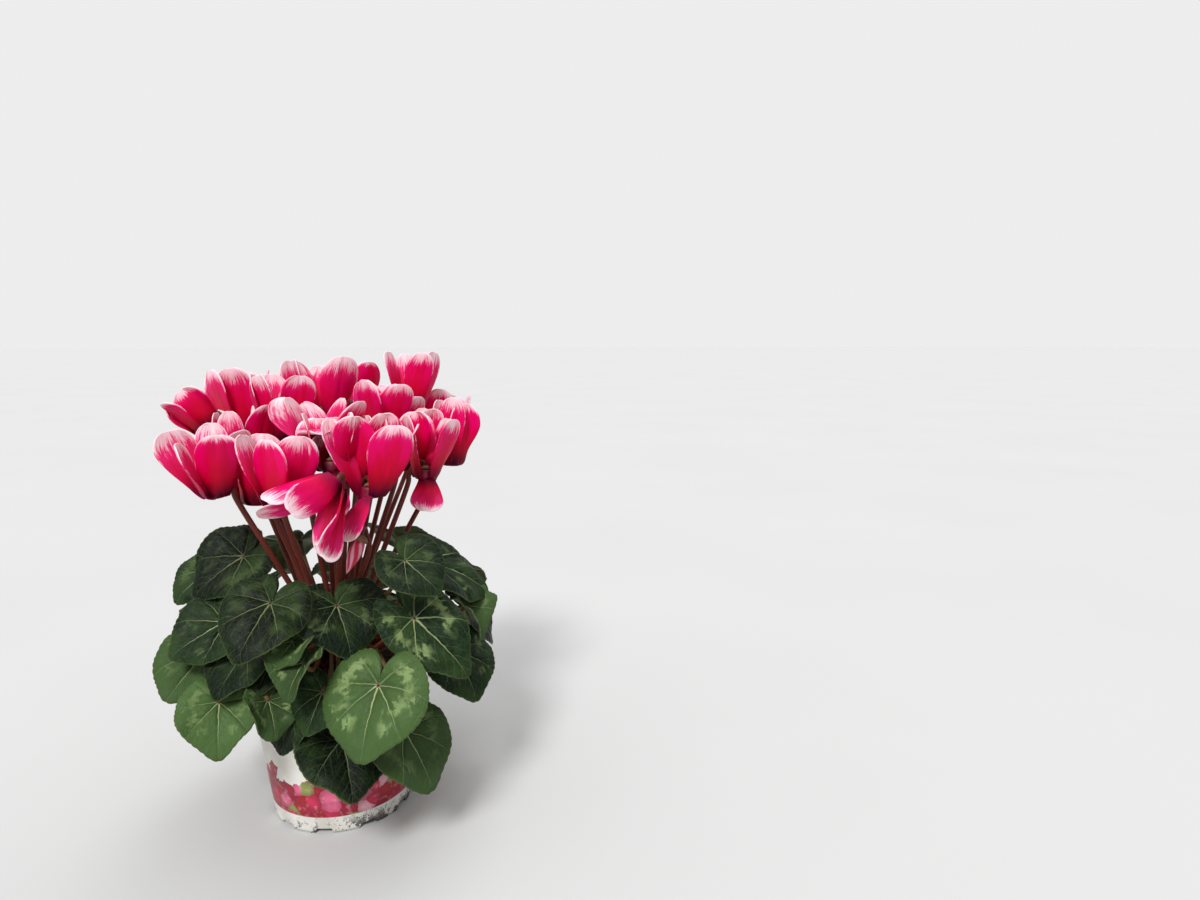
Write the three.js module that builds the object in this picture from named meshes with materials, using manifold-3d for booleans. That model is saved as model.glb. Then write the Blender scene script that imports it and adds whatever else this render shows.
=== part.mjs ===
// A cyclamen in a plastic grower's pot: pot, soil, tuber, leaves on their petioles,
// flower stalks, five-petalled flowers with swept-back petals, and one bud.
// Units are millimetres, +Z is up, and the origin is the centre of the pot's foot
// on the surface it stands on. -Y is the side that shows the largest leaves.

import * as THREE from "three";
import { mergeVertices } from "three/addons/utils/BufferGeometryUtils.js";
import Module from "manifold-3d";

// ---------------------------------------------------------------- driving dimensions

const POT = {
  height: 93,
  rimRadius: 52.5,
  footRadius: 38.5,
  wall: 1.4,
  lipHeight: 7,
  lipDepth: 1.5,
  footHeight: 3.2,
  footWidth: 3.6,
  floor: 1.4,
  notches: 10,
  notchWidth: 9,
  drainHoles: 6,
  drainRadius: 3.2,
  drainCircle: 27,
  segments: 36,
};
const SOIL = { edgeHeight: 83.5, centreHeight: 86, gap: 0.5, bottomGap: 0.4, segments: 20 };
const TUBER = { radius: 22, halfHeight: 14, centreHeight: 80, socketGap: 0.8 };
const BLADE = {
  thickness: 0.8,
  innerRing: 0.55,
  spokeAngles: [0, 20, 44, 69, 94, 119, 144, 167, 180],
};
// leave and arrive are how far a petiole's ends run straight, as shares of its span.
const PETIOLE = { radius: 1.25, sides: 5, steps: 6, startGap: 0.35, rimClearance: 8, leave: 0.4, arrive: 0.36 };
const STALK = { radius: 1.35, sides: 5, startGap: 0.35, endGap: 0.4, rise: 14 };
// twist and spin are a petal's turn about its own length at its foot, in degrees, and how
// much it gains by the tip; cup is how far it curves across, as a share of its half width.
const COROLLA = {
  mouthRadius: 4.5,
  tubeWall: 1.1,
  tubeHeight: 5,
  belly: 2.8,
  claw: 3.2,
  petalThickness: 0.9,
  hang: 0.48,
  petalRows: [0, 0.26, 0.66, 0.9, 1],
  roundFrom: 0.74,
  twist: 18,
  spin: 4,
  cup: 0.16,
};
const CALYX = { radius: 3, height: 1.2 };

// Where joined shapes cross, edges shorter than this are tidied away.
const SEAM = 0.15;

// Petals stand at these angles from the side on which the stalk comes in, so that it
// passes between the first and the last.
const PETAL_ANGLES = [53, 116, 180, 244, 307];

// How far from the tuber's middle each tier of petioles starts.
const TIER_RADIUS = { low: 18.6, middle: 15.7, high: 12.8 };

// Each leaf: where the petiole joins the blade, where the blade's tip is, the tier it
// grows from, and how far it is rolled about its midrib. Optional: wide, cup, fold,
// droop (shape of the blade) and swing (degrees that its petiole starts off its own
// direction).
const LEAVES = {
  leaf_front_heart: { joint: [18, -85, 102], tip: [5, -105, 75], tier: "low", roll: 0, wide: 1.06 },
  leaf_front_low_right: { joint: [30, -66, 67], tip: [46, -84, 44], tier: "low", roll: 0, wide: 1.12 },
  leaf_front_low: { joint: [0, -63, 66], tip: [4, -92, 50], tier: "low", roll: 0 },
  leaf_front_low_left: { joint: [-24, -57, 80], tip: [-31, -65, 64], tier: "low", roll: 0, swing: -6 },
  leaf_front_round: { joint: [-8, -66, 94], tip: [-18, -78, 79], tier: "middle", roll: 0, swing: -5 },
  leaf_front_curled: { joint: [-16, -70, 112], tip: [-26, -83, 102], tier: "high", roll: 0, swing: -14 },
  leaf_front_wide: {
    joint: [0, -53, 134], tip: [7, -73, 115], tier: "middle", roll: 0, wide: 1.2, swing: 6,
  },
  leaf_right_large: { joint: [38, -62, 126], tip: [64, -82, 102], tier: "middle", roll: 34, wide: 0.7 },
  leaf_right_round: { joint: [34, -65, 158], tip: [50, -79, 145], tier: "high", roll: 25 },
  leaf_right_long: { joint: [50, -28, 146], tip: [88, -22, 128], tier: "middle", roll: 25, wide: 0.8 },
  leaf_right_far: { joint: [73, -4, 112], tip: [93, -10, 90], tier: "low", roll: 0 },
  leaf_right_low: { joint: [62, -34, 95], tip: [73, -56, 76], tier: "low", roll: 0 },
  leaf_left_dark: {
    joint: [-31, -57, 140], tip: [-47, -79, 122], tier: "middle", roll: -15, wide: 0.92, swing: -5,
  },
  leaf_left_back: { joint: [-47, -6, 152], tip: [-74, -15, 138], tier: "high", roll: -30 },
  leaf_left_middle: { joint: [-56, -28, 123], tip: [-82, -38, 113], tier: "middle", roll: -30 },
  leaf_left_low: { joint: [-67, -17, 104], tip: [-84, -41, 92], tier: "low", roll: -15 },
  leaf_left_front: { joint: [-58, -50, 89], tip: [-58, -70, 71], tier: "low", roll: 0 },
  leaf_left_under: { joint: [-44, -42, 112], tip: [-60, -60, 98], tier: "high", roll: 0 },
  leaf_rear_right: { joint: [62, 34, 124], tip: [88, 48, 102], tier: "middle", roll: 0 },
  leaf_rear_right_high: { joint: [40, 46, 143], tip: [62, 70, 124], tier: "high", roll: 0 },
  leaf_rear_right_low: { joint: [46, 60, 92], tip: [62, 86, 68], tier: "low", roll: 0 },
  leaf_rear_middle: { joint: [14, 62, 118], tip: [20, 98, 98], tier: "middle", roll: 0 },
  leaf_rear_middle_low: { joint: [-4, 73, 80], tip: [-6, 111, 61], tier: "low", roll: 0 },
  leaf_rear_left_high: { joint: [-20, 56, 144], tip: [-34, 86, 128], tier: "high", roll: 0 },
  leaf_rear_left: { joint: [-46, 54, 116], tip: [-68, 80, 94], tier: "middle", roll: 0 },
  leaf_left_rear: { joint: [-60, 22, 128], tip: [-88, 30, 112], tier: "low", roll: 0 },
};

// Each flower: the centre of its mouth, the middle of its petal tips, how far the tips
// spread, the widest part of a petal, the direction the stalk comes in from, where on the
// tuber it starts, and which petals hang.
const FLOWERS = {
  left_high: {
    mouth: [-60, -2, 224], top: [-75, -2, 242], spread: 9, petal: 15, stalkFrom: -10, base: [-8.5, 1],
  },
  left_front: {
    mouth: [-54, -38, 193], top: [-58, -42, 226], spread: 16, petal: 21, stalkFrom: 35, base: [-7, -5.5],
  },
  left_inner: {
    mouth: [-38, -20, 184], top: [-36, -18, 217], spread: 12, petal: 17, stalkFrom: 20, base: [-5, -2],
  },
  left_rear: {
    mouth: [-46, 28, 215], top: [-48, 32, 252], spread: 16, petal: 21, stalkFrom: -35, base: [-6.5, 5],
  },
  middle_left: {
    mouth: [-24, -5, 216], top: [-24, 0, 252], spread: 14, petal: 21, stalkFrom: 0, base: [-1.8, -0.5],
  },
  middle_high: {
    mouth: [-3, 22, 221], top: [-3, 26, 260], spread: 15, petal: 22, stalkFrom: -90, base: [-0.8, 3.6],
  },
  rear_high: {
    mouth: [15, 58, 222], top: [16, 64, 254], spread: 15, petal: 20, stalkFrom: -100, base: [1.8, 8],
  },
  middle_right: {
    mouth: [28, 4, 211], top: [30, 4, 247], spread: 15, petal: 21, stalkFrom: 180, base: [3, 0.8],
  },
  right_high: {
    mouth: [50, 40, 227], top: [52, 44, 262], spread: 12, petal: 17, stalkFrom: 220, base: [5.5, 5.5],
  },
  front_right: {
    mouth: [19, -50, 190], top: [21, -47, 231], spread: 20, petal: 21,
    stalkFrom: 121, base: [3.6, -6.2], hangs: [1],
  },
  right_front: {
    mouth: [50, -20, 193], top: [54, -19, 229], spread: 15, petal: 18,
    stalkFrom: 160, base: [7, -3.5], hangs: [1],
  },
  right_far: {
    mouth: [70, 12, 195], top: [73, 14, 236], spread: 10, petal: 17, stalkFrom: 190, base: [8.5, 1.5],
  },
  rear_right: {
    mouth: [61, 66, 203], top: [67, 72, 235], spread: 14, petal: 19, stalkFrom: 225, base: [5, 9],
  },
  front_left: {
    mouth: [-25, -55, 188], top: [-22, -51, 223], spread: 16, petal: 21, stalkFrom: 70, base: [-3.5, -8],
  },
  front_drooping: {
    mouth: [2, -69, 202], top: [-19, -82, 183], spread: 19, petal: 17, stalkFrom: 70, base: [-0.6, -9.3],
  },
};

const BUD = { top: [14, -52, 169], tip: [5, -57, 151], radius: 3.9, stalkFrom: 60, base: [0.3, -4.2] };

const COLOURS = {
  pot: [0xece9e2, 0.45],
  soil: [0x2c1d14, 0.95],
  tuber: [0x5a3d2a, 0.85],
  leaf: [0x2f5a38, 0.5],
  stalk: [0x6d2320, 0.5],
  petal: [0xd4124a, 0.55],
  bud: [0xe04a78, 0.55],
};

// ------------------------------------------------------------------------ helpers

const wasm = await Module();
wasm.setup();

const UP = new THREE.Vector3(0, 0, 1);
const radians = THREE.MathUtils.degToRad;
const smoothstep = THREE.MathUtils.smoothstep;
const vector = (xyz) => new THREE.Vector3(...xyz);

// Positions only, with shared vertices merged and the faces that this flattens dropped.
function welded(geometry) {
  const bare = geometry.index ? geometry.toNonIndexed() : geometry.clone();
  for (const name of Object.keys(bare.attributes)) {
    if (name !== "position") bare.deleteAttribute(name);
  }
  const merged = mergeVertices(bare, 1e-3);
  const old = merged.index.array;
  const kept = [];
  for (let i = 0; i < old.length; i += 3) {
    const [a, b, c] = [old[i], old[i + 1], old[i + 2]];
    if (a !== b && b !== c && c !== a) kept.push(a, b, c);
  }
  merged.setIndex(kept);
  return merged;
}

// Moves every vertex of a geometry to where place(x, y, z) puts it.
function bend(geometry, place) {
  const position = geometry.getAttribute("position");
  for (let i = 0; i < position.count; i++) {
    const to = place(position.getX(i), position.getY(i), position.getZ(i));
    position.setXYZ(i, to.x, to.y, to.z);
  }
  return geometry;
}

// A closed geometry as a manifold-3d solid, turned the right way out.
function solid(geometry) {
  const closed = welded(geometry);
  const triVerts = new Uint32Array(closed.index.array);
  const vertProperties = new Float32Array(closed.getAttribute("position").array);
  const made = new wasm.Manifold(new wasm.Mesh({ numProp: 3, vertProperties, triVerts }));
  if (made.volume() > 0) return made;
  for (let i = 0; i < triVerts.length; i += 3) {
    [triVerts[i + 1], triVerts[i + 2]] = [triVerts[i + 2], triVerts[i + 1]];
  }
  return new wasm.Manifold(new wasm.Mesh({ numProp: 3, vertProperties, triVerts }));
}

// A manifold-3d solid back as a three.js geometry.
function geometryOf(made) {
  const mesh = made.getMesh();
  const geometry = new THREE.BufferGeometry();
  const places = new Float32Array(mesh.vertProperties);
  geometry.setAttribute("position", new THREE.BufferAttribute(places, 3));
  geometry.setIndex(new THREE.BufferAttribute(new Uint32Array(mesh.triVerts), 1));
  geometry.computeVertexNormals();
  return geometry;
}

// A solid of revolution about Z from [radius, height] points.
function turned(points, segments) {
  const profile = points.map(([radius, height]) => new THREE.Vector2(radius, height));
  return new THREE.LatheGeometry(profile, segments).rotateX(Math.PI / 2);
}

// A curve whose steps are shared evenly between its control points, so that a tight
// hook gets as many as a long straight.
class StemCurve extends THREE.CatmullRomCurve3 {
  getUtoTmapping(u) {
    return u;
  }
}

function tube(curve, radius, sides, steps) {
  const section = new THREE.Shape();
  for (let i = 0; i < sides; i++) {
    const angle = (2 * Math.PI * i) / sides;
    const [x, y] = [radius * Math.cos(angle), radius * Math.sin(angle)];
    if (i === 0) section.moveTo(x, y);
    else section.lineTo(x, y);
  }
  section.closePath();
  return new THREE.ExtrudeGeometry(section, { steps, bevelEnabled: false, extrudePath: curve });
}

// --------------------------------------------------------------------------- pot

const potRadius = (height) =>
  POT.footRadius + ((POT.rimRadius - POT.lipDepth - POT.footRadius) * height) / POT.height;

function pot() {
  const floorTop = POT.footHeight + POT.floor;
  const lipBottom = POT.height - POT.lipHeight;
  const inner = (height) => potRadius(height) - POT.wall;
  const shell = solid(
    turned(
      [
        [0, POT.footHeight],
        [POT.footRadius - POT.footWidth, POT.footHeight],
        [POT.footRadius - POT.footWidth, 0],
        [POT.footRadius, 0],
        [potRadius(lipBottom), lipBottom],
        [POT.rimRadius, lipBottom],
        [POT.rimRadius, POT.height],
        [inner(POT.height), POT.height],
        [inner(floorTop), floorTop],
        [0, floorTop],
      ],
      POT.segments,
    ),
  );
  const cuts = [];
  for (let i = 0; i < POT.notches; i++) {
    const notch = new THREE.BoxGeometry(POT.notchWidth, 4 * POT.footWidth, 2 * POT.footHeight - 1);
    const angle = (2 * Math.PI * (i + 0.5)) / POT.notches;
    notch.translate(0, -POT.footRadius, 0).rotateZ(angle);
    cuts.push(solid(notch));
  }
  for (let i = 0; i < POT.drainHoles; i++) {
    const hole = new THREE.CylinderGeometry(POT.drainRadius, POT.drainRadius, 4 * POT.floor, 10);
    const angle = (2 * Math.PI * i) / POT.drainHoles;
    hole.rotateX(Math.PI / 2).translate(POT.drainCircle, 0, floorTop).rotateZ(angle);
    cuts.push(solid(hole));
  }
  return cuts.reduce((body, cut) => body.subtract(cut), shell);
}

// ----------------------------------------------------------------- soil and tuber

function soil() {
  const bottom = POT.footHeight + POT.floor + SOIL.bottomGap;
  const outer = (height) => potRadius(height) - POT.wall - SOIL.gap;
  const across = TUBER.radius + TUBER.socketGap;
  const down = TUBER.halfHeight + TUBER.socketGap;
  const socket = [];
  const mouthSine = (SOIL.centreHeight - TUBER.centreHeight) / down;
  const mouthAngle = Math.asin(mouthSine);
  const arcSteps = 6;
  for (let i = 0; i <= arcSteps; i++) {
    const angle = mouthAngle - ((mouthAngle + Math.PI / 2) * i) / arcSteps;
    const radius = i === arcSteps ? 0 : across * Math.cos(angle);
    socket.push([radius, TUBER.centreHeight + down * Math.sin(angle)]);
  }
  const profile = [
    [0, bottom],
    [outer(bottom), bottom],
    [outer(SOIL.edgeHeight), SOIL.edgeHeight],
    [0.6 * outer(SOIL.edgeHeight) + 6, SOIL.edgeHeight + 1],
    ...socket,
  ];
  return solid(turned(profile, SOIL.segments));
}

function tuber() {
  const ball = new THREE.SphereGeometry(TUBER.radius, 14, 8).rotateX(Math.PI / 2);
  ball.scale(1, 1, TUBER.halfHeight / TUBER.radius).translate(0, 0, TUBER.centreHeight);
  return solid(ball);
}

// The point of the tuber's crown above x, y, a gap off it, and the way out there.
function crown(x, y, gap) {
  const share = Math.sqrt(1 - (x ** 2 + y ** 2) / TUBER.radius ** 2);
  const height = TUBER.halfHeight * share;
  const out = new THREE.Vector3(
    x / TUBER.radius ** 2,
    y / TUBER.radius ** 2,
    height / TUBER.halfHeight ** 2,
  ).normalize();
  const start = new THREE.Vector3(x, y, TUBER.centreHeight + height).addScaledVector(out, gap);
  return { start, out };
}

// -------------------------------------------------------------------------- leaves

// How far the blade's margin is from the joint, in midrib lengths, at an angle from
// the midrib: pointed at the tip, round at the sides, and notched behind the joint.
function margin(angle) {
  const round = 0.68 + 0.16 * Math.cos(angle);
  const tip = 0.14 * Math.exp(-((angle / 0.32) ** 2));
  const behind = Math.PI - Math.abs(angle);
  const notch = 0.34 * Math.exp(-((behind / 0.2) ** 2));
  return round + tip - notch;
}

// How far the blade rises off its flat plane, in midrib lengths.
function rise(leaf, along, across) {
  const { cup = 0.12, fold = 0.04, droop = 0.16, lobes = 0.1 } = leaf;
  const forward = Math.max(along, 0);
  const back = Math.max(-along, 0);
  return cup * across ** 2 + fold * Math.abs(across) - droop * forward ** 2 + lobes * back;
}

function leafFrame(leaf) {
  const joint = vector(leaf.joint);
  const along = vector(leaf.tip).sub(joint);
  const length = along.length();
  along.normalize();
  const face = UP.clone().addScaledVector(along, -along.z).normalize();
  face.applyAxisAngle(along, radians(leaf.roll));
  const across = face.clone().cross(along);
  return { joint, length, along, across, face };
}

function blade(leaf) {
  const frame = leafFrame(leaf);
  const { thickness, innerRing, spokeAngles } = BLADE;
  const spokes = 2 * (spokeAngles.length - 1);
  const disc = welded(
    turned(
      [
        [0, 0],
        [innerRing, 0],
        [1, 0],
        [1, 1],
        [innerRing, 1],
        [0, 1],
      ],
      spokes,
    ),
  );
  const toWorld = new THREE.Matrix4().makeBasis(frame.along, frame.across, frame.face);
  toWorld.setPosition(frame.joint);
  return solid(
    bend(disc, (x, y, side) => {
      const share = Math.hypot(x, y);
      const turn = Math.atan2(y, x);
      const spoke = Math.round((Math.abs(turn) * spokes) / (2 * Math.PI));
      const angle = Math.sign(turn) * radians(spokeAngles[spoke]);
      const reach = share * margin(angle);
      const along = reach * Math.cos(angle);
      const across = reach * Math.sin(angle) * (leaf.wide ?? 1);
      const height = rise(leaf, along, across) * frame.length + side * thickness;
      return new THREE.Vector3(along * frame.length, across * frame.length, height).applyMatrix4(toWorld);
    }),
  );
}

function petiole(leaf) {
  const frame = leafFrame(leaf);
  const direction = Math.atan2(frame.joint.y, frame.joint.x) + radians(leaf.swing ?? 0);
  const radius = TIER_RADIUS[leaf.tier];
  const { start, out } = crown(radius * Math.cos(direction), radius * Math.sin(direction), PETIOLE.startGap);
  const distance = start.distanceTo(frame.joint);
  const overRim = POT.height + PETIOLE.rimClearance;
  const leave = start.clone().addScaledVector(out, PETIOLE.leave * distance);
  leave.z = Math.max(leave.z, overRim + 4);
  const end = frame.joint.clone().addScaledVector(frame.face, 0.5 * BLADE.thickness);
  const arrive = end.clone().addScaledVector(frame.face, -PETIOLE.arrive * distance);
  arrive.z = Math.max(arrive.z, overRim + 0.7 * (overRim - end.z));
  const route = new THREE.CubicBezierCurve3(start, leave, arrive, end);
  return solid(tube(route, PETIOLE.radius, PETIOLE.sides, PETIOLE.steps));
}

// ------------------------------------------------------------------------- flowers

function flowerFrame(flower) {
  const mouth = vector(flower.mouth);
  const axis = vector(flower.top).sub(mouth);
  const tall = axis.length();
  axis.normalize();
  const heading = radians(flower.stalkFrom);
  const from = new THREE.Vector3(Math.cos(heading), Math.sin(heading), 0);
  const side = from.addScaledVector(axis, -from.dot(axis)).normalize();
  const third = axis.clone().cross(side);
  const toWorld = new THREE.Matrix4().makeBasis(side, third, axis).setPosition(mouth);
  return { tall, toWorld };
}

// A petal's centreline: out of the mouth, round the shoulder and up to the tip.
function petalRadius(flower, v) {
  const shoulder = COROLLA.mouthRadius + COROLLA.belly * Math.sin((Math.min(v / 0.25, 1) * Math.PI) / 2);
  const flare = flower.spread - COROLLA.mouthRadius - COROLLA.belly;
  const opened = Math.max(v - 0.15, 0) / 0.85;
  return shoulder + flare * (0.55 * opened + 0.45 * smoothstep(v, 0.15, 1));
}

function petalHeight(tall, v) {
  return tall * (1.25 * v - 0.25 + 0.25 * (1 - v) ** 5);
}

// Narrow at the claw, widening steadily to a broad, round end, like a spoon.
function petalHalfWidth(flower, v) {
  const { claw, roundFrom } = COROLLA;
  const half = flower.petal / 2;
  const widened = claw + (half - claw) * smoothstep(v, 0.08, 0.8);
  if (v < roundFrom) return widened;
  return widened * Math.sqrt(1 - ((0.96 * (v - roundFrom)) / (1 - roundFrom)) ** 2);
}

// A point of a petal in the flower's frame: u runs across it, v along it, and lift is
// off its surface.
function petalPoint(flower, tall, angle, hanging, u, v, lift) {
  const twist = radians(COROLLA.twist + COROLLA.spin * v);
  const outward = new THREE.Vector3(Math.cos(angle), Math.sin(angle), 0);
  const sideways = new THREE.Vector3(-Math.sin(angle), Math.cos(angle), 0);
  const across = sideways.clone().multiplyScalar(Math.cos(twist)).addScaledVector(outward, Math.sin(twist));
  const off = outward.clone().multiplyScalar(Math.cos(twist)).addScaledVector(sideways, -Math.sin(twist));
  const step = 0.02;
  const rising = petalHeight(tall, v + step) - petalHeight(tall, v - step);
  const widening = petalRadius(flower, v + step) - petalRadius(flower, v - step);
  const slope = Math.atan2(rising, widening);
  const half = petalHalfWidth(flower, v);
  const cupped = COROLLA.cup * u * u * half;
  const point = outward.multiplyScalar(petalRadius(flower, v));
  point.addScaledVector(across, u * half);
  point.addScaledVector(off, lift * Math.sin(slope) - cupped);
  point.z = petalHeight(tall, v) - lift * Math.cos(slope);
  if (hanging) point.z *= -COROLLA.hang;
  return point;
}

function corolla(flower) {
  const { tall, toWorld } = flowerFrame(flower);
  const { mouthRadius, tubeWall, tubeHeight, petalThickness, petalRows } = COROLLA;
  let made = solid(
    turned(
      [
        [mouthRadius - tubeWall, -0.5],
        [mouthRadius + 0.4, -0.5],
        [mouthRadius, tubeHeight],
        [mouthRadius - tubeWall, tubeHeight],
        [mouthRadius - tubeWall, -0.5],
      ],
      8,
    ),
  );
  PETAL_ANGLES.forEach((degrees, i) => {
    const hanging = (flower.hangs ?? []).includes(i);
    const slab = welded(new THREE.BoxGeometry(2, 1, 1, 4, petalRows.length - 1, 1));
    const petal = bend(slab, (x, y, z) => {
      const v = petalRows[Math.round((petalRows.length - 1) * (y + 0.5))];
      return petalPoint(flower, tall, radians(degrees), hanging, x, v, z * petalThickness);
    });
    made = made.add(solid(petal));
  });
  return made.simplify(SEAM).transform(toWorld.elements);
}

// The stalk rises from the crown, passes between two petals and hooks over to end above
// the corolla's tube, where the calyx sits.
function stalk(flower) {
  const { toWorld } = flowerFrame(flower);
  const { start, out } = crown(...flower.base, STALK.startGap);
  const end = COROLLA.tubeHeight + STALK.endGap;
  const hook = [
    [9.6, 0, -7],
    [8.8, 0, 0.5],
    [6.9, 0, 6.4],
    [3.6, 0, 9.4],
    [0.8, 0, 8.6],
    [0, 0, end],
  ].map((point) => vector(point).applyMatrix4(toWorld));
  const rising = start.clone().addScaledVector(out, STALK.rise).lerp(hook[0], 0.1);
  const halfway = rising.clone().lerp(hook[0], 0.5);
  const curve = new StemCurve([start, rising, halfway, ...hook]);
  const stem = solid(tube(curve, STALK.radius, STALK.sides, hook.length + 2));
  const calyx = new THREE.CylinderGeometry(0.8 * CALYX.radius, CALYX.radius, CALYX.height, 8);
  calyx.rotateX(Math.PI / 2).translate(0, 0, end + CALYX.height / 2);
  return stem.add(solid(calyx).transform(toWorld.elements)).simplify(SEAM);
}

// The bud hangs from its hooked stalk and is furled to a point.
function bud() {
  const top = vector(BUD.top);
  const axis = vector(BUD.tip).sub(top);
  const length = axis.length();
  axis.normalize();
  const profile = [
    [0, -1],
    [0.75 * BUD.radius, 0.5],
    [BUD.radius, 0.35 * length],
    [0.7 * BUD.radius, 0.7 * length],
    [0, length],
  ];
  const body = turned(profile, 8);
  body.applyQuaternion(new THREE.Quaternion().setFromUnitVectors(UP, axis));
  body.translate(top.x, top.y, top.z);
  const { start, out } = crown(...BUD.base, STALK.startGap);
  const heading = radians(BUD.stalkFrom);
  const from = new THREE.Vector3(Math.cos(heading), Math.sin(heading), 0);
  const shoulder = top.clone().addScaledVector(from, 5);
  const curve = new StemCurve([
    start,
    start.clone().addScaledVector(out, STALK.rise),
    shoulder.clone().setZ(top.z - 12),
    shoulder.clone().setZ(top.z + 1),
    top.clone().addScaledVector(from, 2.6).setZ(top.z + 4.6),
    top.clone().addScaledVector(from, 0.4).setZ(top.z + 3),
    top,
  ]);
  return solid(tube(curve, 0.85 * STALK.radius, STALK.sides, 12)).add(solid(body)).simplify(SEAM);
}

// ------------------------------------------------------------------------ assembly

const plant = new THREE.Group();

function add(name, made, finish) {
  const [color, roughness] = COLOURS[finish];
  const material = new THREE.MeshStandardMaterial({ color, roughness, metalness: 0 });
  const mesh = new THREE.Mesh(geometryOf(made), material);
  mesh.name = name;
  plant.add(mesh);
}

add("pot", pot(), "pot");
add("soil", soil(), "soil");
add("tuber", tuber(), "tuber");
for (const [name, leaf] of Object.entries(LEAVES)) {
  add(name, blade(leaf).add(petiole(leaf)).simplify(SEAM), "leaf");
}
for (const [name, flower] of Object.entries(FLOWERS)) {
  add(`stalk_${name}`, stalk(flower), "stalk");
  add(`flower_${name}`, corolla(flower), "petal");
}
add("bud", bud(), "bud");

export default plant;
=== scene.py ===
"""A flowering cyclamen in a printed plastic grower's pot, for Blender 4.5.

Shapes are worked out in millimetres in the part's own frame and turned to metres when a
piece is finished. The tables of leaves and flowers are the part's own, with the finish of
each leaf added, and some smaller leaves and blooms that fill the gaps.
"""

import math
import random
from collections import namedtuple

import bmesh
import bpy
from mathutils import Matrix, Vector, noise
from mathutils.geometry import interpolate_bezier


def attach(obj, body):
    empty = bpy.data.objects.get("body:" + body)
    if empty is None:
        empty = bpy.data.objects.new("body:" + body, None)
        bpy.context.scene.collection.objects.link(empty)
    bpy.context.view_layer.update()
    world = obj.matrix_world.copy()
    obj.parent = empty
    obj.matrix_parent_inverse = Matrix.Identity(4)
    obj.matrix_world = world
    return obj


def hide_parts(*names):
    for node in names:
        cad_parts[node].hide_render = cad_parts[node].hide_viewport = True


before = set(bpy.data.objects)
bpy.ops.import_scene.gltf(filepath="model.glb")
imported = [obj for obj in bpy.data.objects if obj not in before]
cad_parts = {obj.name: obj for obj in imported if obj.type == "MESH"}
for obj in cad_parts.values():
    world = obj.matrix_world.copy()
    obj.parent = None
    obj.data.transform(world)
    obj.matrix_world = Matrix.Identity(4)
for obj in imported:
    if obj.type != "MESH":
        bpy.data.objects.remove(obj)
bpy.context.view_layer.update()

# ------------------------------ measures, in mm

POT_HEIGHT = 93
RIM_RADIUS = 52.5
FOOT_RADIUS = 38.5
POT_WALL = 1.4
LIP_HEIGHT = 7
LIP_DEPTH = 1.5
FOOT_HEIGHT = 3.2
FOOT_WIDTH = 3.6
POT_FLOOR = 1.4
NOTCHES = 10
NOTCH_WIDTH = 9

SOIL_EDGE = 83.5
SOIL_CENTRE = 86
SOIL_GAP = 0.5

TUBER_RADIUS = 22
TUBER_HALF_HEIGHT = 14
TUBER_CENTRE = 80

BLADE_THICKNESS = 0.7
PETIOLE_RADIUS = 1.25
# How high over the rim the petioles pass, and how far from the axis each tier starts.
RIM_CLEARANCE = 8
TIER_RADIUS = {"low": 18.6, "middle": 15.7, "high": 12.8}

STALK_RADIUS = 1.4
MOUTH_RADIUS = 4.5
TUBE_WALL = 1.1
TUBE_HEIGHT = 5
BELLY = 2.8
CLAW = 4.7
PETAL_THICKNESS = 0.45
# Where the five petals stand, in degrees from the side that the stalk comes in on.
PETAL_ANGLES = (53, 116, 180, 244, 307)

# A leaf: where the petiole joins the blade, the blade's tip, the tier of the tuber that it
# grows from, and its finish. tone runs from -1, deep bluish green that is also painted
# shade on leaves lying in shade, to 1, young yellow-green, and silver is how strong its
# marbling is. wide stretches it sideways, roll turns it about its midrib, and swing moves
# the petiole's start round the tuber, both in degrees. cup, crumple and fold shape the
# blade, and are drawn by chance where not given.
Leaf = namedtuple(
    "Leaf",
    "joint tip tier tone silver wide roll swing cup crumple fold",
    defaults=(1, 0, 0, None, None, None),
)

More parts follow.
